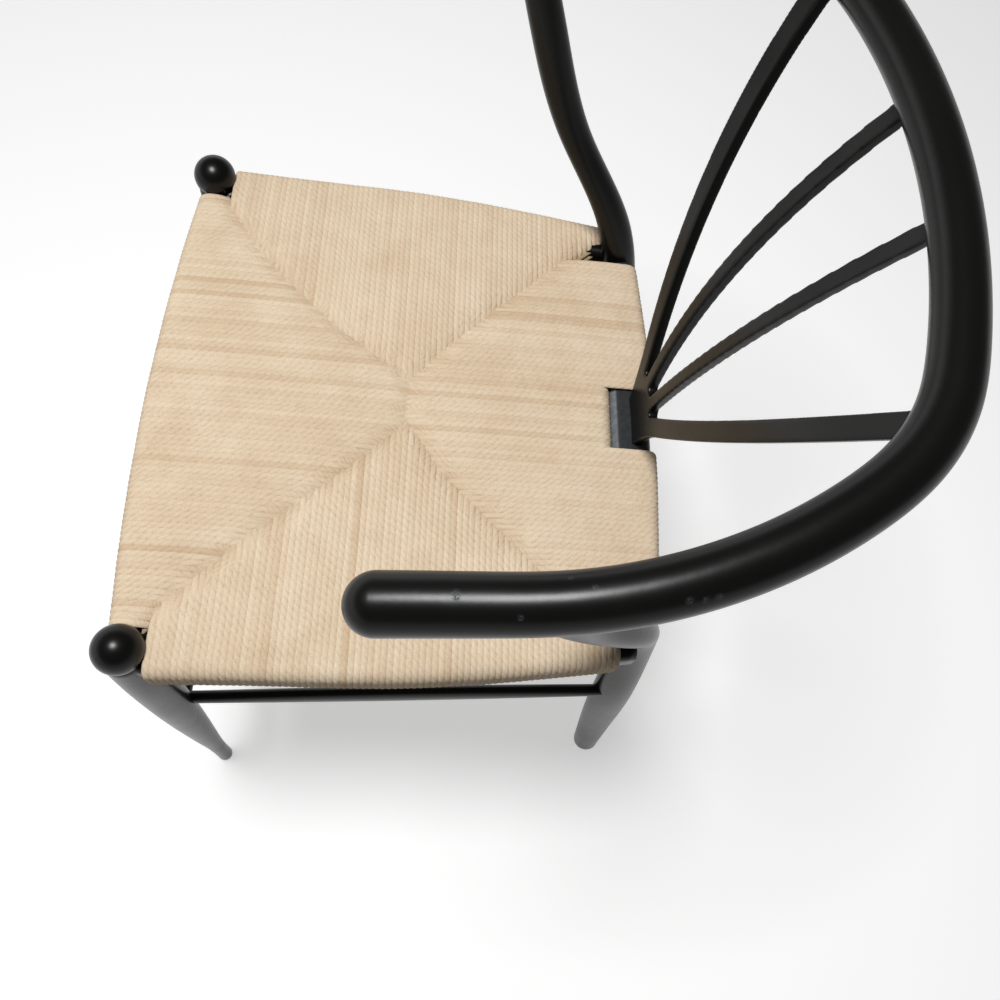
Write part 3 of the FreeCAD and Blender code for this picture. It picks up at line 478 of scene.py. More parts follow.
def lacquer_paint(tree, spot):
    """Faint unevenness, fine scratches, small dents and worn spots."""
    wood = bpy.context.scene.chair_wood
    flow = noise(tree, spot, 22.0, 4.0, 0.55)
    grain = calc(tree, "MULTIPLY", noise(tree, spot, 620.0, 3.0), 0.05)
    dents = wire(tree, "ShaderNodeTexVoronoi", {"Vector": spot, "Scale": 17.0})
    pits = ramp(tree, dents, 0.02, 0.06, -1.0, 0.0)
    height = calc(tree, "MULTIPLY_ADD", pits, 0.35, calc(tree, "MULTIPLY_ADD", flow, 1.6, grain))
    scuffs = 0.0
    for middle, reach in SCUFFS:
        away = node(tree, "ShaderNodeVectorMath", {0: spot, 1: tuple(np.array(middle) * MM)},
                    operation="DISTANCE").outputs["Value"]
        scuffs = calc(tree, "MAXIMUM", scuffs, ramp(tree, away, 0.3 * reach * MM, reach * MM, 1.0, 0.0))
    wear_mask_and_shade_depth = calc(tree, "MULTIPLY", scuffs, ramp(tree, noise(tree, spot, 1400.0, 2.0), 0.42, 0.58))
    rough = ramp(tree, flow, 0.0, 1.0, wood.gloss - 0.05, wood.gloss + 0.07)
    return {"Base Color": mixed(tree, wear_mask_and_shade_depth, wood.lacquer, wood.scuff), "IOR": 1.34,
            "Roughness": calc(tree, "MULTIPLY_ADD", wear_mask_and_shade_depth, 0.3, rough),
            "Normal": relief(tree, height, 0.25, 0.0008)}


def lacquer():
    """Black satin lacquer over wood."""
    return finish("black_lacquer", lacquer_paint)


def grey_lacquer_highlight_paint(tree, spot):
    """Paler grey lacquer, with a painted highlight: a pale strip along the rail's front edge."""
    wood = bpy.context.scene.chair_wood
    depth = node(tree, "ShaderNodeSeparateXYZ", {0: spot}).outputs["Y"]
    edge = (REAR_RAIL_FRONT + FRONT_LINE) * MM
    # Painted highlight: the pale strip along the rail's front edge.
    front = ramp(tree, depth, edge + 0.0045, edge + 0.006, 1.0, 0.0)
    uneven = ramp(tree, noise(tree, spot, 240.0, 3.0), 0.3, 0.7, 0.75, 1.15)
    colour = scaled(tree, mixed(tree, front, wood.bare_grey_lacquer, wood.painted_edge_highlight), uneven)
    return {"Base Color": colour, "Roughness": 0.4, "IOR": 1.34}


def cord_paint(tree, spot):
    """Three slanting plies with painted shade in the grooves between them, deeper on the cord's flanks;
    fibres; paler and darker lengths, and painted shade near each cord's valley.
    """
    seat = bpy.context.scene.chair_seat
    along, round_x, round_y, tone_and_shade = (
        node(tree, "ShaderNodeAttribute", attribute_name=name).outputs["Fac"]
        for name in ("along", "round_x", "round_y", "tone_and_shade"))
    twist = calc(tree, "MULTIPLY", along, 2 * math.pi / seat.ply_spacing)
    phase = calc(tree, "MULTIPLY_ADD", calc(tree, "ARCTAN2", round_y, round_x), 3.0, twist)
    wave = calc(tree, "SINE", calc(tree, "MULTIPLY_ADD", tone_and_shade, 90.0, phase))
    ply = ramp(tree, wave, -1.0, -0.1, interpolation_type="SMOOTHSTEP")
    flanks = calc(tree, "MULTIPLY_ADD", calc(tree, "POWER", round_x, 4.0), seat.flank_shade, seat.ply_shade)
    # Painted shade: noise makes the ply-groove shade deeper in some places and fainter in others.
    wear_mask_and_shade_depth = ramp(tree, noise(tree, spot, 130.0, 2.0), 0.35, 0.65, 0.25, 1.4)
    depth = calc(tree, "MULTIPLY", flanks, wear_mask_and_shade_depth)
    shaded = calc(tree, "MULTIPLY", calc(tree, "SUBTRACT", 1.0, ply), depth)
    fibre = noise(tree, spot, 900.0, 3.0)
    patch = calc(tree, "MULTIPLY_ADD", noise(tree, spot, 26.0, 3.0, 0.6), 1.1, -0.45)
    shade = calc(tree, "ADD", tone_and_shade, patch, use_clamp=True)
    speck = ramp(tree, fibre, 0.3, 0.7, 0.9, 1.06)
    dim = calc(tree, "MULTIPLY", calc(tree, "SUBTRACT", 1.0, shaded), speck)
    height = calc(tree, "MULTIPLY_ADD", fibre, 0.25, ply)
    return {"Base Color": scaled(tree, mixed(tree, shade, seat.cord_light, seat.cord_dark), dim),
            "Roughness": 0.85, "Specular IOR Level": 0.25, "Normal": relief(tree, height, 0.5, 0.0004)}


def plain_paint(tree, spot, colour, roughness, grain, metallic=0.0):
    """A plain colour with fine grain in it and in the surface."""
    grains = noise(tree, spot, grain, 4.0)
    return {"Base Color": scaled(tree, colour, ramp(tree, grains, 0.0, 1.0, 0.75, 1.15)),
            "Roughness": roughness, "Metallic": metallic, "Normal": relief(tree, grains, 0.3, 0.0003)}


def rail_line():
    """Points of the rail's centre line in its own plane, and the outward direction at each."""
    (wide, corner), (tight, turn) = RAIL_BENDS
    last = corner + turn
    first_centre = np.array((ARM_SPREAD - wide, ARM_STRAIGHT))
    second_centre = first_centre + np.array((math.cos(corner), math.sin(corner))) * (wide - tight)
    end = second_centre + tight * np.array((math.cos(last), math.sin(last)))
    back = end[0] / math.cos(last)
    runs = ((first_centre, wide, 0.0, corner), (second_centre, tight, corner, last),
            (np.array((0.0, end[1] - back * math.sin(last))), back, last, math.pi / 2))
    points = [np.column_stack((np.full(ARM_STEPS, ARM_SPREAD), np.linspace(0, ARM_STRAIGHT, ARM_STEPS)))]
    for middle, radius, first, final in runs:
        count = max(4, round(radius * (final - first) / RAIL_STEP))
        turns = np.linspace(first, final, count + 1)[1:]
        points.append(middle + radius * np.column_stack((np.cos(turns), np.sin(turns))))
    half = np.concatenate(points)
    half[:, 0] -= ARM_TOE[0] * np.clip(1 - half[:, 1] / ARM_TOE[1], 0, 1)
    line = np.concatenate((half, (half * (-1, 1))[-2::-1]))
    steps = np.r_[0, np.cumsum(np.hypot(*np.diff(line, axis=0).T))]
    places = np.linspace(0, steps[-1], round(steps[-1] / RAIL_STEP) + 1)
    line = np.column_stack([np.interp(places, steps, line[:, axis]) for axis in (0, 1)])
    reach = round(RAIL_BLEND / RAIL_STEP)
    window = np.hanning(2 * reach + 3)[1:-1]
    window /= window.sum()
    smooth = np.column_stack([np.convolve(line[:, axis], window, mode="same") for axis in (0, 1)])
    line[reach:-reach] = smooth[reach:-reach]
    tangent = np.gradient(line, axis=0)
    tangent /= np.linalg.norm(tangent, axis=1)[:, None]
    outward = np.column_stack((tangent[:, 1], -tangent[:, 0]))
    return line, outward


def rail_space(points):
    """Points (across, along, over) of the rail's plane, in the chair's frame."""
    points = np.asarray(points, float)
    cos, sin = math.cos(RAIL_TILT), math.sin(RAIL_TILT)
    along, over = points[..., 1], points[..., 2]
    return np.stack((points[..., 0], ARM_TIP[0] + along * cos - over * sin,
                     ARM_TIP[1] + along * sin + over * cos), -1)


def rail_shell():
    """The bent bar with round ends."""
    line, outward = rail_line()
    places = np.r_[0, np.cumsum(np.hypot(*np.diff(line, axis=0).T))]
    swell = bpy.context.scene.chair_wood.rail_radius / MM + curve(RAIL_SWELL,
                                                                  np.minimum(places, places[-1] - places))
    domes = np.radians(np.linspace(*DOME_ANGLES))
    depths, round_off = swell[0] * np.sin(domes), swell[0] * np.cos(domes)
    start, stop = (line[end] + np.array((0.0, -1.0)) * depths[:, None] for end in (0, -1))
    count = len(domes)
    centre = np.concatenate((start, line, stop[::-1]))
    side = np.concatenate((np.repeat(outward[:1], count, 0), outward, np.repeat(outward[-1:], count, 0)))
    radii = np.concatenate((round_off, swell, round_off[::-1]))
    flat, wide = (np.column_stack((part, np.zeros(len(part)))) for part in (centre, side))
    return skin(rail_space(ovals(flat, wide, (0.0, 0.0, 1.0), radii, radii, RAIL_SIDES)))


def front_leg_shell(side):
    """A turned leg with a ball on top."""
    foot = np.array((side * FRONT_FOOT[0], FRONT_FOOT[1], FOOT_HEIGHT))
    ball = np.array((side * BALL_SPREAD, 0.0, BALL_HEIGHT))
    reach = np.linalg.norm(ball - foot)
    along = (ball - foot) / reach
    neck = reach - math.sqrt(BALL_RADIUS ** 2 - NECK_RADIUS ** 2)
    heights = np.linspace(TAPER_ENDS[0], neck - TAPER_ENDS[1], TAPER_STEPS)
    taper = np.column_stack((curve(FRONT_TAPER, heights), heights))
    turns = np.linspace(math.asin((neck - reach) / BALL_RADIUS), BALL_TURN, BALL_STEPS)
    round_top = np.column_stack((BALL_RADIUS * np.cos(turns), reach + BALL_RADIUS * np.sin(turns)))
    rim = np.array(FOOT_RIM) + (FRONT_TAPER[0][1], 0.0)
    groove = np.array(NECK_GROOVE) + (NECK_RADIUS, neck)
    profile = np.concatenate((rim, taper, groove, round_top[1:]))
    across = np.cross(along, (0.0, 1.0, 0.0))
    across /= np.linalg.norm(across)
    centres = foot + along * profile[:, 1:2]
    return skin(ovals(centres, across, np.cross(along, across), profile[:, 0], profile[:, 0], LEG_SIDES))


def rear_leg_rows(heights):
    """Across, back, half width and half depth of the left rear leg at heights."""
    return spline(REAR_SECTIONS[:, 0], REAR_SECTIONS[:, 1:], heights)


def rear_leg_shell(side):
    """A shaped leg: upright, then forward and outward to the arm."""
    rises, shares = np.array(REAR_FOOT).T
    heights = np.linspace(REAR_SECTIONS[0, 0], REAR_SECTIONS[-1, 0], REAR_STEPS)
    rows = rear_leg_rows(heights)
    rows = np.concatenate((np.repeat(rows[:1], len(rises), 0), rows[1:]))
    heights = np.r_[heights[0] + rises, heights[1:]]
    shrink = np.r_[shares, np.ones(REAR_STEPS - 1)]
    centres = np.column_stack((side * rows[:, 0], rows[:, 1], heights))
    return skin(ovals(centres, (1.0, 0.0, 0.0), (0.0, 1.0, 0.0), rows[:, 2] * shrink, rows[:, 3] * shrink,
                      LEG_SIDES))


def rear_leg_at(height):
    """Across and back of the left rear leg's axis at a height."""
    return rear_leg_rows([height])[0, :2]


def front_leg_at(height):
    """Across and back of the left front leg's axis at a height."""
    share = (height - FOOT_HEIGHT) / (BALL_HEIGHT - FOOT_HEIGHT)
    return FRONT_FOOT[0] + share * (BALL_SPREAD - FRONT_FOOT[0]), FRONT_FOOT[1] * (1 - share)


def stretcher_shell(start, stop):
    """A slim oval bar between two points."""
    start, stop = np.array(start), np.array(stop)
    shares = np.linspace(0, 1, BAR_STEPS)
    swell = curve(STRETCHER_SHARES, shares)
    along = (stop - start) / np.linalg.norm(stop - start)
    up = (0.0, 0.0, 1.0)
    across = np.cross(along, up)
    across /= np.linalg.norm(across)
    centres = start + shares[:, None] * (stop - start)
    half_wide, half_high = (STRETCHER_END + more * swell for more in STRETCHER_SWELL)
    return skin(ovals(centres, across, up, half_wide, half_high, STRETCHER_SIDES))


def rounded_bar(line, inner, outer, away):
    """A seat rail: flat-topped with round edges; away is the direction of its outer side."""
    turns = np.linspace(0, math.pi / 2, BAR_CORNER_STEPS) + np.arange(4)[:, None] * math.pi / 2
    low, high = RAIL_BOTTOM + BAR_ROUND, RAIL_TOP - BAR_ROUND
    heights = (np.array((high, high, low, low))[:, None] + BAR_ROUND * np.sin(turns)).ravel()
    rings = []
    for point, inside, outside in zip(line, inner, outer):
        outside, inside = outside - BAR_ROUND, BAR_ROUND - inside
        across = np.array((outside, inside, inside, outside))[:, None] + BAR_ROUND * np.cos(turns)
        rings.append(np.column_stack((point + across.reshape(-1, 1) * away, heights)))
    return skin(np.array(rings))


def side_edge_at(back):
    """Reach of the corded seat's side at depths."""
    return curve(SIDE_EDGE, np.atleast_1d(back))


def bowed(edge, across):
    """Depth of a bowed front or rear edge at a place across; edge holds its corner and its middle."""
    (corner, corner_back), (_, middle_back) = edge
    return middle_back + (corner_back - middle_back) * (np.asarray(across) / corner) ** 2


def place_wood(name, shell, cad_node, material=None):
    """Make a shell a lacquered piece that stands for a CAD node."""
    place(mesh_from(name, shell), material or lacquer(), "lacquered_wood", cad_node)


class CHAIR_OT_top_rail(bpy.types.Operator):
    """Build the bent rail that is both arms and the top of the back"""

    bl_idname = "chair.top_rail"
    bl_label = "Top Rail"

    def execute(self, context):
        place_wood("bent_rail", rail_shell(), "top_rail")
        return {"FINISHED"}


class CHAIR_OT_legs(bpy.types.Operator):
    """Build the turned front legs and the shaped rear legs"""

    bl_idname = "chair.legs"
    bl_label = "Legs"

    def execute(self, context):
        for name, side in (("left", 1), ("right", -1)):
            place_wood(f"turned_leg_{name}", front_leg_shell(side), f"front_leg_{name}")
            place_wood(f"shaped_leg_{name}", rear_leg_shell(side), f"rear_leg_{name}")
        return {"FINISHED"}


def splat_outline():
    """Points round the flat splat: its left half and the mirror image of it."""
    other = []
    for index in range(len(SPLAT_HALF) - 1, -1, -1):
        middle = SPLAT_HALF[index - 1][2] if index else None
        other.append((-SPLAT_HALF[index][0], SPLAT_HALF[index][1], middle and (-middle[0], middle[1])))
    corners = [*SPLAT_HALF, *other]
    points = []
    for index, (across, height, middle) in enumerate(corners):
        following = corners[(index + 1) % len(corners)]
        if middle is None:
            points.append(np.array([(across, height)]))
        else:
            points.append(arc((across, height), middle, following[:2], SPLAT_ARC_STEPS))
    return np.concatenate(points)


def splat_board(plan):
    """Mesh of the flat board with softened edges."""
    count = len(plan)
    flat = np.concatenate((np.insert(plan, 1, 0.0, 1), np.insert(plan, 1, SPLAT_THICKNESS, 1)))
    faces = [tuple(range(count)), tuple(range(2 * count - 1, count - 1, -1))]
    faces += [(i, (i + 1) % count, count + (i + 1) % count, count + i) for i in range(count)]
    board = add("board", mesh_from("board", (flat, faces)))
    remesh = board.modifiers.new("voxels", "REMESH")
    remesh.mode = "VOXEL"
    remesh.voxel_size = SPLAT_VOXEL * MM
    softening = board.modifiers.new("soft_edges", "SMOOTH")
    softening.factor = 0.5
    softening.iterations = bpy.context.scene.chair_wood.edge_softness
    return applied("forked_splat", board)


class CHAIR_OT_splat(bpy.types.Operator):
    """Build the forked splat: a flat board with softened edges, bent to the sitter's back"""

    bl_idname = "chair.splat"
    bl_label = "Splat"

    def execute(self, context):
        mesh = splat_board(splat_outline())
        co = np.empty(len(mesh.vertices) * 3)
        mesh.vertices.foreach_get("co", co)
        across, depth, height = (co.reshape(-1, 3) / MM - (0.0, FRONT_LINE, 0.0)).T
        angle = np.arcsin(np.clip((height - SPLAT_BEND_START) / SPLAT_BEND, 0, 1))
        radius = SPLAT_PLAN + SPLAT_BEND - (SPLAT_BEND - depth) * np.cos(angle)
        back = np.sqrt(radius ** 2 - across ** 2) - SPLAT_PLAN + SPLAT_FRONT
        co = np.column_stack((across, back, height)) + (0.0, FRONT_LINE, 0.0)
        mesh.vertices.foreach_set("co", (co * MM).ravel())
        mesh.update()
        mesh.shade_smooth()
        place(mesh, lacquer(), "lacquered_wood", "back_splat")
        return {"FINISHED"}


class CHAIR_OT_stretchers(bpy.types.Operator):
    """Build the four slim oval stretchers"""

    bl_idname = "chair.stretchers"
    bl_label = "Stretchers"

    def execute(self, context):
        height = SIDE_STRETCHER_HEIGHT
        front, rear = front_leg_at(height), rear_leg_at(height)
        for name, side in (("left", 1), ("right", -1)):
            start, stop = ((side * (leg[0] + shift), leg[1], height)
                           for leg, shift in zip((front, rear), SIDE_STRETCHER_SHIFT))
            place_wood(f"side_bar_{name}", stretcher_shell(start, stop), f"side_stretcher_{name}")
        height = CROSS_STRETCHER_HEIGHT
        for name, (x, y) in (("front", front_leg_at(height)), ("rear", rear_leg_at(height))):
            shell = stretcher_shell((-x, y, height), (x, y, height))
            place_wood(f"cross_bar_{name}", shell, f"{name}_stretcher")
        return {"FINISHED"}


class CHAIR_OT_seat_rails(bpy.types.Operator):
    """Build the four seat rails under the cord"""

    bl_idname = "chair.seat_rails"
    bl_label = "Seat Rails"

    def execute(self, context):
        # The bare rear rail's grey lacquer carries a painted highlight along its front edge.
        bare_grey_lacquer = finish("grey_lacquer_painted_highlight", grey_lacquer_highlight_paint)
        for name, (half, depth, inwards, outwards), side, material in (
                ("front", FRONT_BAR, -1, lacquer()), ("rear", REAR_BAR, 1, bare_grey_lacquer)):
            across = np.linspace(-half, half, BAR_STEPS)
            bulge = 1 - (across / half) ** 2
            line = np.column_stack((across, np.full(BAR_STEPS, depth)))
            shell = rounded_bar(line, BAR_HALF + inwards * bulge, BAR_HALF + outwards * bulge, (0, side))
            place_wood(f"seat_bar_{name}", shell, f"{name}_seat_rail", material)
        back = np.linspace(*SIDE_BAR_ENDS, BAR_STEPS)
        middle = SIDE_BAR_ACROSS[0] + (SIDE_BAR_ACROSS[1] - SIDE_BAR_ACROSS[0]) * back / REAR_AXIS
        outer = side_edge_at(back) - CORD_LAYER - middle
        wider, fade = SIDE_BAR_CORNER
        inner = SIDE_BAR_INSIDE + wider * np.exp(-((back - SIDE_BAR_ENDS[0]) / fade) ** 2)
        for name, side in (("left", 1), ("right", -1)):
            shell = rounded_bar(np.column_stack((side * middle, back)), inner, outer, (side, 0))
            place_wood(f"seat_bar_{name}", shell, f"side_seat_rail_{name}")
        return {"FINISHED"}


def node_group(name, inputs, build):
    """The geometry node tree of that name, with a geometry, the given inputs and a material to set."""
    found = bpy.data.node_groups.get(name)
    if found:
        return found
    tree = bpy.data.node_groups.new(name, "GeometryNodeTree")
    for title, kind in {"Geometry": "Geometry", **inputs, "Material": "Material"}.items():
        tree.interface.new_socket(title, in_out="INPUT", socket_type="NodeSocket" + kind)
    tree.interface.new_socket("Geometry", in_out="OUTPUT", socket_type="NodeSocketGeometry")
    given = node(tree, "NodeGroupInput").outputs
    real = wire(tree, "GeometryNodeRealizeInstances", {"Geometry": build(tree, given)})
    painted = wire(tree, "GeometryNodeSetMaterial", {"Geometry": real, "Material": given["Material"]})
    node(tree, "NodeGroupOutput", {"Geometry": painted})
    return tree


def stored(tree, geometry, name, value):
    """The geometry with a value kept on its points."""
    return wire(tree, "GeometryNodeStoreNamedAttribute", {"Geometry": geometry, "Name": name, "Value": value},
                data_type="FLOAT", domain="POINT")


def wound_cord(tree, given):
    """A flattened cord along every line, with the places along and round it kept for its finish."""
    position = wire(tree, "GeometryNodeInputPosition")
    wander = node(tree, "ShaderNodeTexNoise", {"Vector": position, "W": given["Seed"], "Scale": 30.0,
                                               "Detail": 1.0}, noise_dimensions="4D").outputs["Color"]
    centred = wire(tree, "ShaderNodeVectorMath", {0: wander, 1: (0.5, 0.5, 0.5)}, operation="SUBTRACT")
    line = wire(tree, "GeometryNodeMeshToCurve", {"Mesh": given["Geometry"]})
    line = wire(tree, "GeometryNodeSetPosition", {"Geometry": line,
                                                  "Offset": scaled(tree, centred, given["Stray"])})
    line = wire(tree, "GeometryNodeSetCurveNormal", {"Curve": line, "Normal": given["Level"]}, mode="FREE")
    spread = node(tree, "GeometryNodeSplineParameter").outputs
    line = stored(tree, line, "along", spread["Length"])
    profile = wire(tree, "GeometryNodeCurvePrimitiveCircle", {"Resolution": given["Sides"], "Radius": 1.0})
    angle = calc(tree, "MULTIPLY", spread["Factor"], 2 * math.pi)
    for name, kind in (("round_x", "COSINE"), ("round_y", "SINE")):
        profile = stored(tree, profile, name, calc(tree, kind, angle))
    sizes = wire(tree, "ShaderNodeCombineXYZ", {0: given["Half Width"], 1: given["Half Thickness"], 2: 1.0})
    profile = wire(tree, "GeometryNodeTransform", {"Geometry": profile, "Scale": sizes})
    tube = wire(tree, "GeometryNodeCurveToMesh", {"Curve": line, "Profile Curve": profile, "Fill Caps": True})
    return wire(tree, "GeometryNodeSetShadeSmooth", {"Geometry": tube})


def through_tree(name, mesh, tree, settings):
    """Run a mesh through a node tree and return the plain result."""
    holder = add(name, mesh)
    modifier = holder.modifiers.new("nodes", "NODES")
    modifier.node_group = tree
    for item in tree.interface.items_tree:
        if item.in_out == "INPUT" and item.name in settings:
            modifier[item.identifier] = settings[item.name]
    return applied(name, holder)


def wrap(inset):
    """Section of a cord round a rail's outer edge: (distance in from the edge, height) from top to bottom."""
    bend = EDGE_ROUND - inset
    turns = np.radians(np.linspace(90, 0, EDGE_STEPS))
    inwards, drop = EDGE_ROUND - bend * np.cos(turns), bend * np.sin(turns)
    upper = np.column_stack((inwards, SEAT_TOP - inset - bend + drop))
    lower = np.column_stack((inwards, SEAT_BOTTOM + inset + bend - drop))
    return np.concatenate((upper, lower[::-1]))


def cord_run(valley, edge, cross, sideways, tone_value, crease_shade):
    """One turn of cord: down at the top valley, out to the rail, round it and back below."""
    radius = bpy.context.scene.chair_seat.cord_thickness / MM
    direction = 1.0 if edge > valley else -1.0
    profile = wrap(radius)
    run = abs(edge - valley) - EDGE_ROUND
    fewest, most, gap = RUN_STEPS
    distances = np.linspace(0, run, max(fewest, min(most, round(run / gap))))
    beyond, dip, fall = SIDE_DIP if sideways else CROSS_DIP
    tail = np.array(((-beyond, -dip - TAIL_DROPS[0]), (-beyond * 0.5, -dip - TAIL_DROPS[1])))
    rise = -dip * np.exp(-(distances / fall) ** 1.5)
    crown = CROWN * np.sin(math.pi * np.clip(distances / max(run, 1), 0, 1))
    top = np.concatenate((tail, np.column_stack((distances, rise + crown))))
    top_line = np.column_stack((valley + direction * top[:, 0], SEAT_TOP - radius + top[:, 1]))
    side_line = np.column_stack((edge - direction * profile[:, 0], profile[:, 1]))
    bottom_line = np.column_stack((valley + direction * top[::-1, 0], SEAT_BOTTOM + radius - top[::-1, 1]))
    line = np.concatenate((top_line[:-1], side_line, bottom_line[1:]))
    fixed = np.full(len(line), cross)
    columns = (line[:, 0], fixed, line[:, 1]) if sideways else (fixed, line[:, 0], line[:, 1])
    # Painted shade: each cord darkens towards its valley, where it dives under the crossing cords.
    crease = np.exp(-np.abs(line[:, 0] - valley) / CREASE_FADE)
    return np.column_stack(columns), tone_value + crease_shade * crease


def cord_mesh(name, runs):
    """Lines of cord as one mesh of edges, with each cord's tone and painted crease shade kept on its points.
    """
    points, edges, tones, base = [], [], [], 0
    for line, tone_and_shade in runs:
        points.append(line)
        edges += [(base + i, base + i + 1) for i in range(len(line) - 1)]
        tones.append(tone_and_shade)
        base += len(line)
    points = (np.concatenate(points) + (0.0, FRONT_LINE, 0.0)) * MM
    mesh = bpy.data.meshes.new(name)
    mesh.from_pydata(points.tolist(), edges, [])
    kept = mesh.attributes.new("tone_and_shade", "FLOAT", "POINT")
    kept.data.foreach_set("value", np.concatenate(tones).astype(np.float32))
    return mesh


def valley_at(line, wanted, axis):
    """Where a valley lies for a cord at a place: read across from back, or back from across."""
    table = np.array(sorted(line, key=lambda point: point[axis]))
    return float(np.interp(wanted, table[:, axis], table[:, 1 - axis]))


def cross_valley(across, near, far):
    """Depth at which a front or rear cord reaches its valley."""
    if across > min(near)[0]:
        return valley_at(near, across, 0)
    if across < max(far)[0]:
        return valley_at(far, across, 0)
    return SEAM_BACK


def side_valley(back, side):
    """Place across at which a side cord reaches its valley."""
    front, rear = (NEAR_VALLEY, NEAR_BACK_VALLEY) if side > 0 else (FAR_VALLEY, FAR_BACK_VALLEY)
    return valley_at(front if back < front[-1][1] else rear, back, 1)


def spaced(half, pitch):
    """Places of cords a pitch apart on both sides of the middle."""
    count = round(2 * half / pitch)
    return (np.arange(count) - (count - 1) / 2) * pitch


class CHAIR_OT_cords(bpy.types.Operator):
    """Wind the seat's paper cord round the four rails"""

    bl_idname = "chair.cords"
    bl_label = "Cords"

    def execute(self, context):
        seat = context.scene.chair_seat
        pitch = seat.cord_pitch / MM
        tones = np.random.default_rng(11)

        # Each cord's own tone, and the strength of its painted crease shade.
        def tone_and_shade():
            cord = tones.uniform(*(DARK_TONES if tones.random() < DARK_SHARE else PALE_TONES))
            return float(cord), float(tones.uniform(*CREASE_SHADES))

        quarters = {"front": [], "rear": [], "left": [], "right": []}
        for across in spaced(FRONT_EDGE[0][0], pitch):
            valley = cross_valley(across, NEAR_VALLEY, FAR_VALLEY)
            edge = float(bowed(FRONT_EDGE, across))
            quarters["front"].append(cord_run(valley, edge, across, False, *tone_and_shade()))
        for across in spaced(REAR_EDGE[0][0], pitch):
            valley = cross_valley(across, NEAR_BACK_VALLEY, FAR_BACK_VALLEY)
            edge = REAR_RAIL_FRONT if abs(across) < BARE_HALF else float(bowed(REAR_EDGE, across))
            quarters["rear"].append(cord_run(valley, edge, across, False, *tone_and_shade()))
        count = round((SIDE_EDGE[-1][0] - SIDE_EDGE[0][0]) / pitch)
        for back in SIDE_EDGE[0][0] + (np.arange(count) + 0.5) * pitch:
            for name, side in (("left", 1), ("right", -1)):
                edge = side * float(side_edge_at(back)[0])
                quarters[name].append(cord_run(side_valley(back, side), edge, back, True, *tone_and_shade()))
        cord = finish("twisted_cord", cord_paint)
        winding = node_group("wind_cord", CORD_INPUTS, wound_cord)
        for number, (name, runs) in enumerate(quarters.items()):
            level = (0.0, 1.0, 0.0) if name in ("left", "right") else (1.0, 0.0, 0.0)
            settings = {"Half Width": seat.cord_width, "Half Thickness": seat.cord_thickness, "Level": level,
                        "Stray": seat.stray, "Seed": 3.0 + number, "Sides": 12, "Material": cord}
            mesh = through_tree(f"cords_{name}", cord_mesh(f"cords_{name}", runs), winding, settings)
            place(mesh, cord, "paper_cord", "seat_weave")
        return {"FINISHED"}


def stacked_card(tree, given):
    """Copies of a card upwards, each shifted a little."""
    rise = wire(tree, "ShaderNodeCombineXYZ", {2: given["Spacing"]})
    points = wire(tree, "GeometryNodeMeshLine", {"Count": given["Layers"], "Offset": rise})
    least, most = (wire(tree, "ShaderNodeCombineXYZ", {0: shift, 1: shift})
                   for shift in (calc(tree, "MULTIPLY", given["Shift"], -1.0), given["Shift"]))
    offset = wire(tree, "FunctionNodeRandomValue", {0: least, 1: most, "Seed": given["Seed"]},
                  data_type="FLOAT_VECTOR")
    points = wire(tree, "GeometryNodeSetPosition", {"Geometry": points, "Offset": offset})
    return wire(tree, "GeometryNodeInstanceOnPoints", {"Points": points, "Instance": given["Geometry"]})


class CHAIR_OT_stuffing(bpy.types.Operator):
    """Lay folded card in the four pockets of the seat"""

    bl_idname = "chair.stuffing"
    bl_label = "Stuffing"

    def execute(self, context):
        seat = context.scene.chair_seat
        card = finish("folded_card", plain_paint, tuple(seat.card), 0.9, 300.0)
        stacking = node_group("stack_card", CARD_INPUTS, stacked_card)
        spacing = (RAIL_TOP - RAIL_BOTTOM - 2 * CARD_GAP) / seat.card_layers
        for name, corners in POCKETS.items():
            corners = np.array(corners, float)
            middle = corners.mean(0)
            rows = [np.column_stack(((corners - middle) * grow, np.full(len(corners), spacing * rise)))
                    for grow, rise in CARD_FOLD]
            rows = np.array(rows) + (*middle, RAIL_BOTTOM + CARD_GAP)
            settings = {"Layers": seat.card_layers, "Spacing": spacing * MM, "Shift": CARD_SHIFT, "Seed": 5,
                        "Material": card}
            card_name = name.replace("stuffing", "card")
            mesh = through_tree(card_name, mesh_from(card_name, skin(rows)), stacking, settings)
            mesh.shade_flat()
            place(mesh, card, "card_stuffing", name)
        return {"FINISHED"}


class CHAIR_OT_feet(bpy.types.Operator):
    """Finish the glides and their nails"""

    bl_idname = "chair.feet"
    bl_label = "Feet"

    def execute(self, context):
        plastic = finish("glide_matt", plain_paint, (0.05, 0.05, 0.05), 0.55, 400.0)
        steel = finish("nail_bright", plain_paint, (0.55, 0.55, 0.56), 0.35, 500.0, 1.0)
        for name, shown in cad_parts.items():
            if name.startswith("glide"):
                shown.data.materials.clear()
                shown.data.materials.append(steel if name == "glide_nails" else plastic)
        return {"FINISHED"}


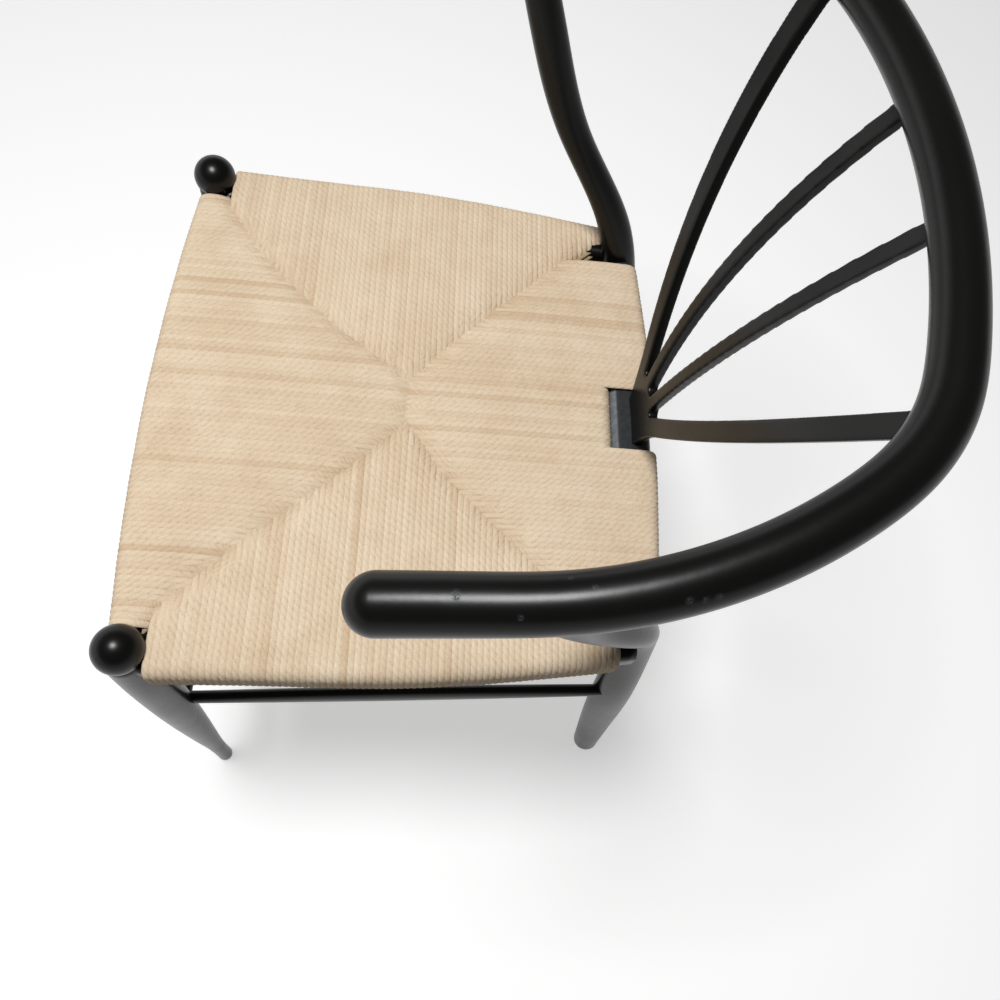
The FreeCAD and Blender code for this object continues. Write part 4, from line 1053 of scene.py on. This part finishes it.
def floor_paint():
    """Pale paint. The chair gets a share of its light; camera and mirrored views see it pale, with shadow."""
    studio = bpy.context.scene.chair_studio
    made = bpy.data.materials.new("floor_paint")
    made.use_nodes = True
    tree = made.node_tree
    shader = tree.nodes["Principled BSDF"]
    fill(tree, shader, {"Base Color": (*studio.floor, 1), "Roughness": 1.0, "Specular IOR Level": 0.0,
                        "Emission Color": (1, 1, 1, 1), "Emission Strength": studio.floor_glow})
    bounce = node(tree, "ShaderNodeBsdfDiffuse", {"Color": (*[studio.floor_bounce] * 3, 1)})
    path = node(tree, "ShaderNodeLightPath").outputs
    seen = path["Is Camera Ray"]
    for kind in ("Is Glossy Ray", "Is Transmission Ray"):
        seen = calc(tree, "MAXIMUM", seen, path[kind])
    shown = node(tree, "ShaderNodeMixShader", {0: seen, 1: bounce.outputs[0], 2: shader.outputs[0]})
    tree.links.new(shown.outputs[0], tree.nodes["Material Output"].inputs["Surface"])
    return made


def set_world(scene):
    """Soft light from low all round, strongest from one side, under a dark top."""
    scene.world = bpy.data.worlds.new("studio")
    scene.world.use_nodes = True
    tree = scene.world.node_tree
    look = node(tree, "ShaderNodeTexCoord").outputs["Generated"]
    rise = node(tree, "ShaderNodeSeparateXYZ", {0: look}).outputs["Z"]
    facing = node(tree, "ShaderNodeVectorMath", {0: look, 1: WORLD_FACING},
                  operation="DOT_PRODUCT").outputs["Value"]
    reach = ramp(tree, facing, *WORLD_TURN, *WORLD_REACH)
    low = ramp(tree, facing, *WORLD_TURN, *WORLD_HORIZON, interpolation_type="SMOOTHSTEP")
    level = ramp(tree, rise, WORLD_FLAT, reach, low, WORLD_TOP, interpolation_type="SMOOTHSTEP")
    fill(tree, tree.nodes["Background"], {"Strength": level, "Color": (1, 1, 1, 1)})


def set_camera(scene):
    """The photograph's camera."""
    lens = bpy.data.cameras.new("camera")
    lens.lens = CAMERA_LENS
    lens.sensor_width = 36.0
    camera = add("camera", lens)
    turn = Matrix((Vector(CAMERA_RIGHT), -Vector(CAMERA_DOWN), -Vector(CAMERA_FORWARD))).transposed()
    camera.rotation_euler = turn.to_euler()
    camera.location = (Vector(CAMERA_PLACE) + Vector((0, FRONT_LINE, 0))) * MM
    scene.camera = camera


class CHAIR_OT_studio(bpy.types.Operator):
    """Set the floor, the soft light and the camera"""

    bl_idname = "chair.studio"
    bl_label = "Studio"

    def execute(self, context):
        scene = context.scene
        studio = scene.chair_studio
        scene.view_settings.view_transform = "Standard"
        mesh = bpy.data.meshes.new("floor")
        corners = [(x * FLOOR_HALF, y * FLOOR_HALF, 0) for x, y in ((-1, -1), (1, -1), (1, 1), (-1, 1))]
        mesh.from_pydata(corners, [], [(0, 1, 2, 3)])
        mesh.materials.append(floor_paint())
        add("floor", mesh)
        set_world(scene)
        light = bpy.data.lights.new("key", "AREA")
        light.shape = "DISK"
        light.size = 2 * studio.key_radius
        light.energy = studio.key_power
        lamp = add("key", light)
        lamp.location = Vector(KEY_PLACE)
        lamp.rotation_euler = (lamp.location - Vector(KEY_TARGET)).to_track_quat("Z", "Y").to_euler()
        set_camera(scene)
        return {"FINISHED"}


class CHAIR_PT_panel(bpy.types.Panel):
    """The armchair's pieces, in the order in which they are built"""

    bl_idname = "CHAIR_PT_panel"
    bl_label = "Armchair"
    bl_space_type = "VIEW_3D"
    bl_region_type = "UI"
    bl_category = "Armchair"

    def draw(self, context):
        for group in ("chair_wood", "chair_seat", "chair_studio"):
            box = self.layout.box()
            settings = getattr(context.scene, group)
            for name in type(settings).__annotations__:
                box.prop(settings, name)
        for operator in STEPS:
            self.layout.operator(operator.bl_idname)


GROUPS = {"chair_wood": ChairWood, "chair_seat": ChairSeat, "chair_studio": ChairStudio}
STEPS = (CHAIR_OT_studio, CHAIR_OT_cords, CHAIR_OT_stuffing, CHAIR_OT_top_rail, CHAIR_OT_splat, CHAIR_OT_legs,
         CHAIR_OT_stretchers, CHAIR_OT_seat_rails, CHAIR_OT_feet)


def register():
    for group in GROUPS.values():
        bpy.utils.register_class(group)
    for step in (*STEPS, CHAIR_PT_panel):
        bpy.utils.register_class(step)
    for name, group in GROUPS.items():
        setattr(bpy.types.Scene, name, bpy.props.PointerProperty(type=group))


def unregister():
    for name in GROUPS:
        delattr(bpy.types.Scene, name)
    for step in (CHAIR_PT_panel, *reversed(STEPS)):
        bpy.utils.unregister_class(step)
    for group in GROUPS.values():
        bpy.utils.unregister_class(group)


def main():
    """Register the add-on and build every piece."""
    register()
    for step in STEPS:
        area, name = step.bl_idname.split(".")
        getattr(getattr(bpy.ops, area), name)()


if __name__ == "__main__":
    main()
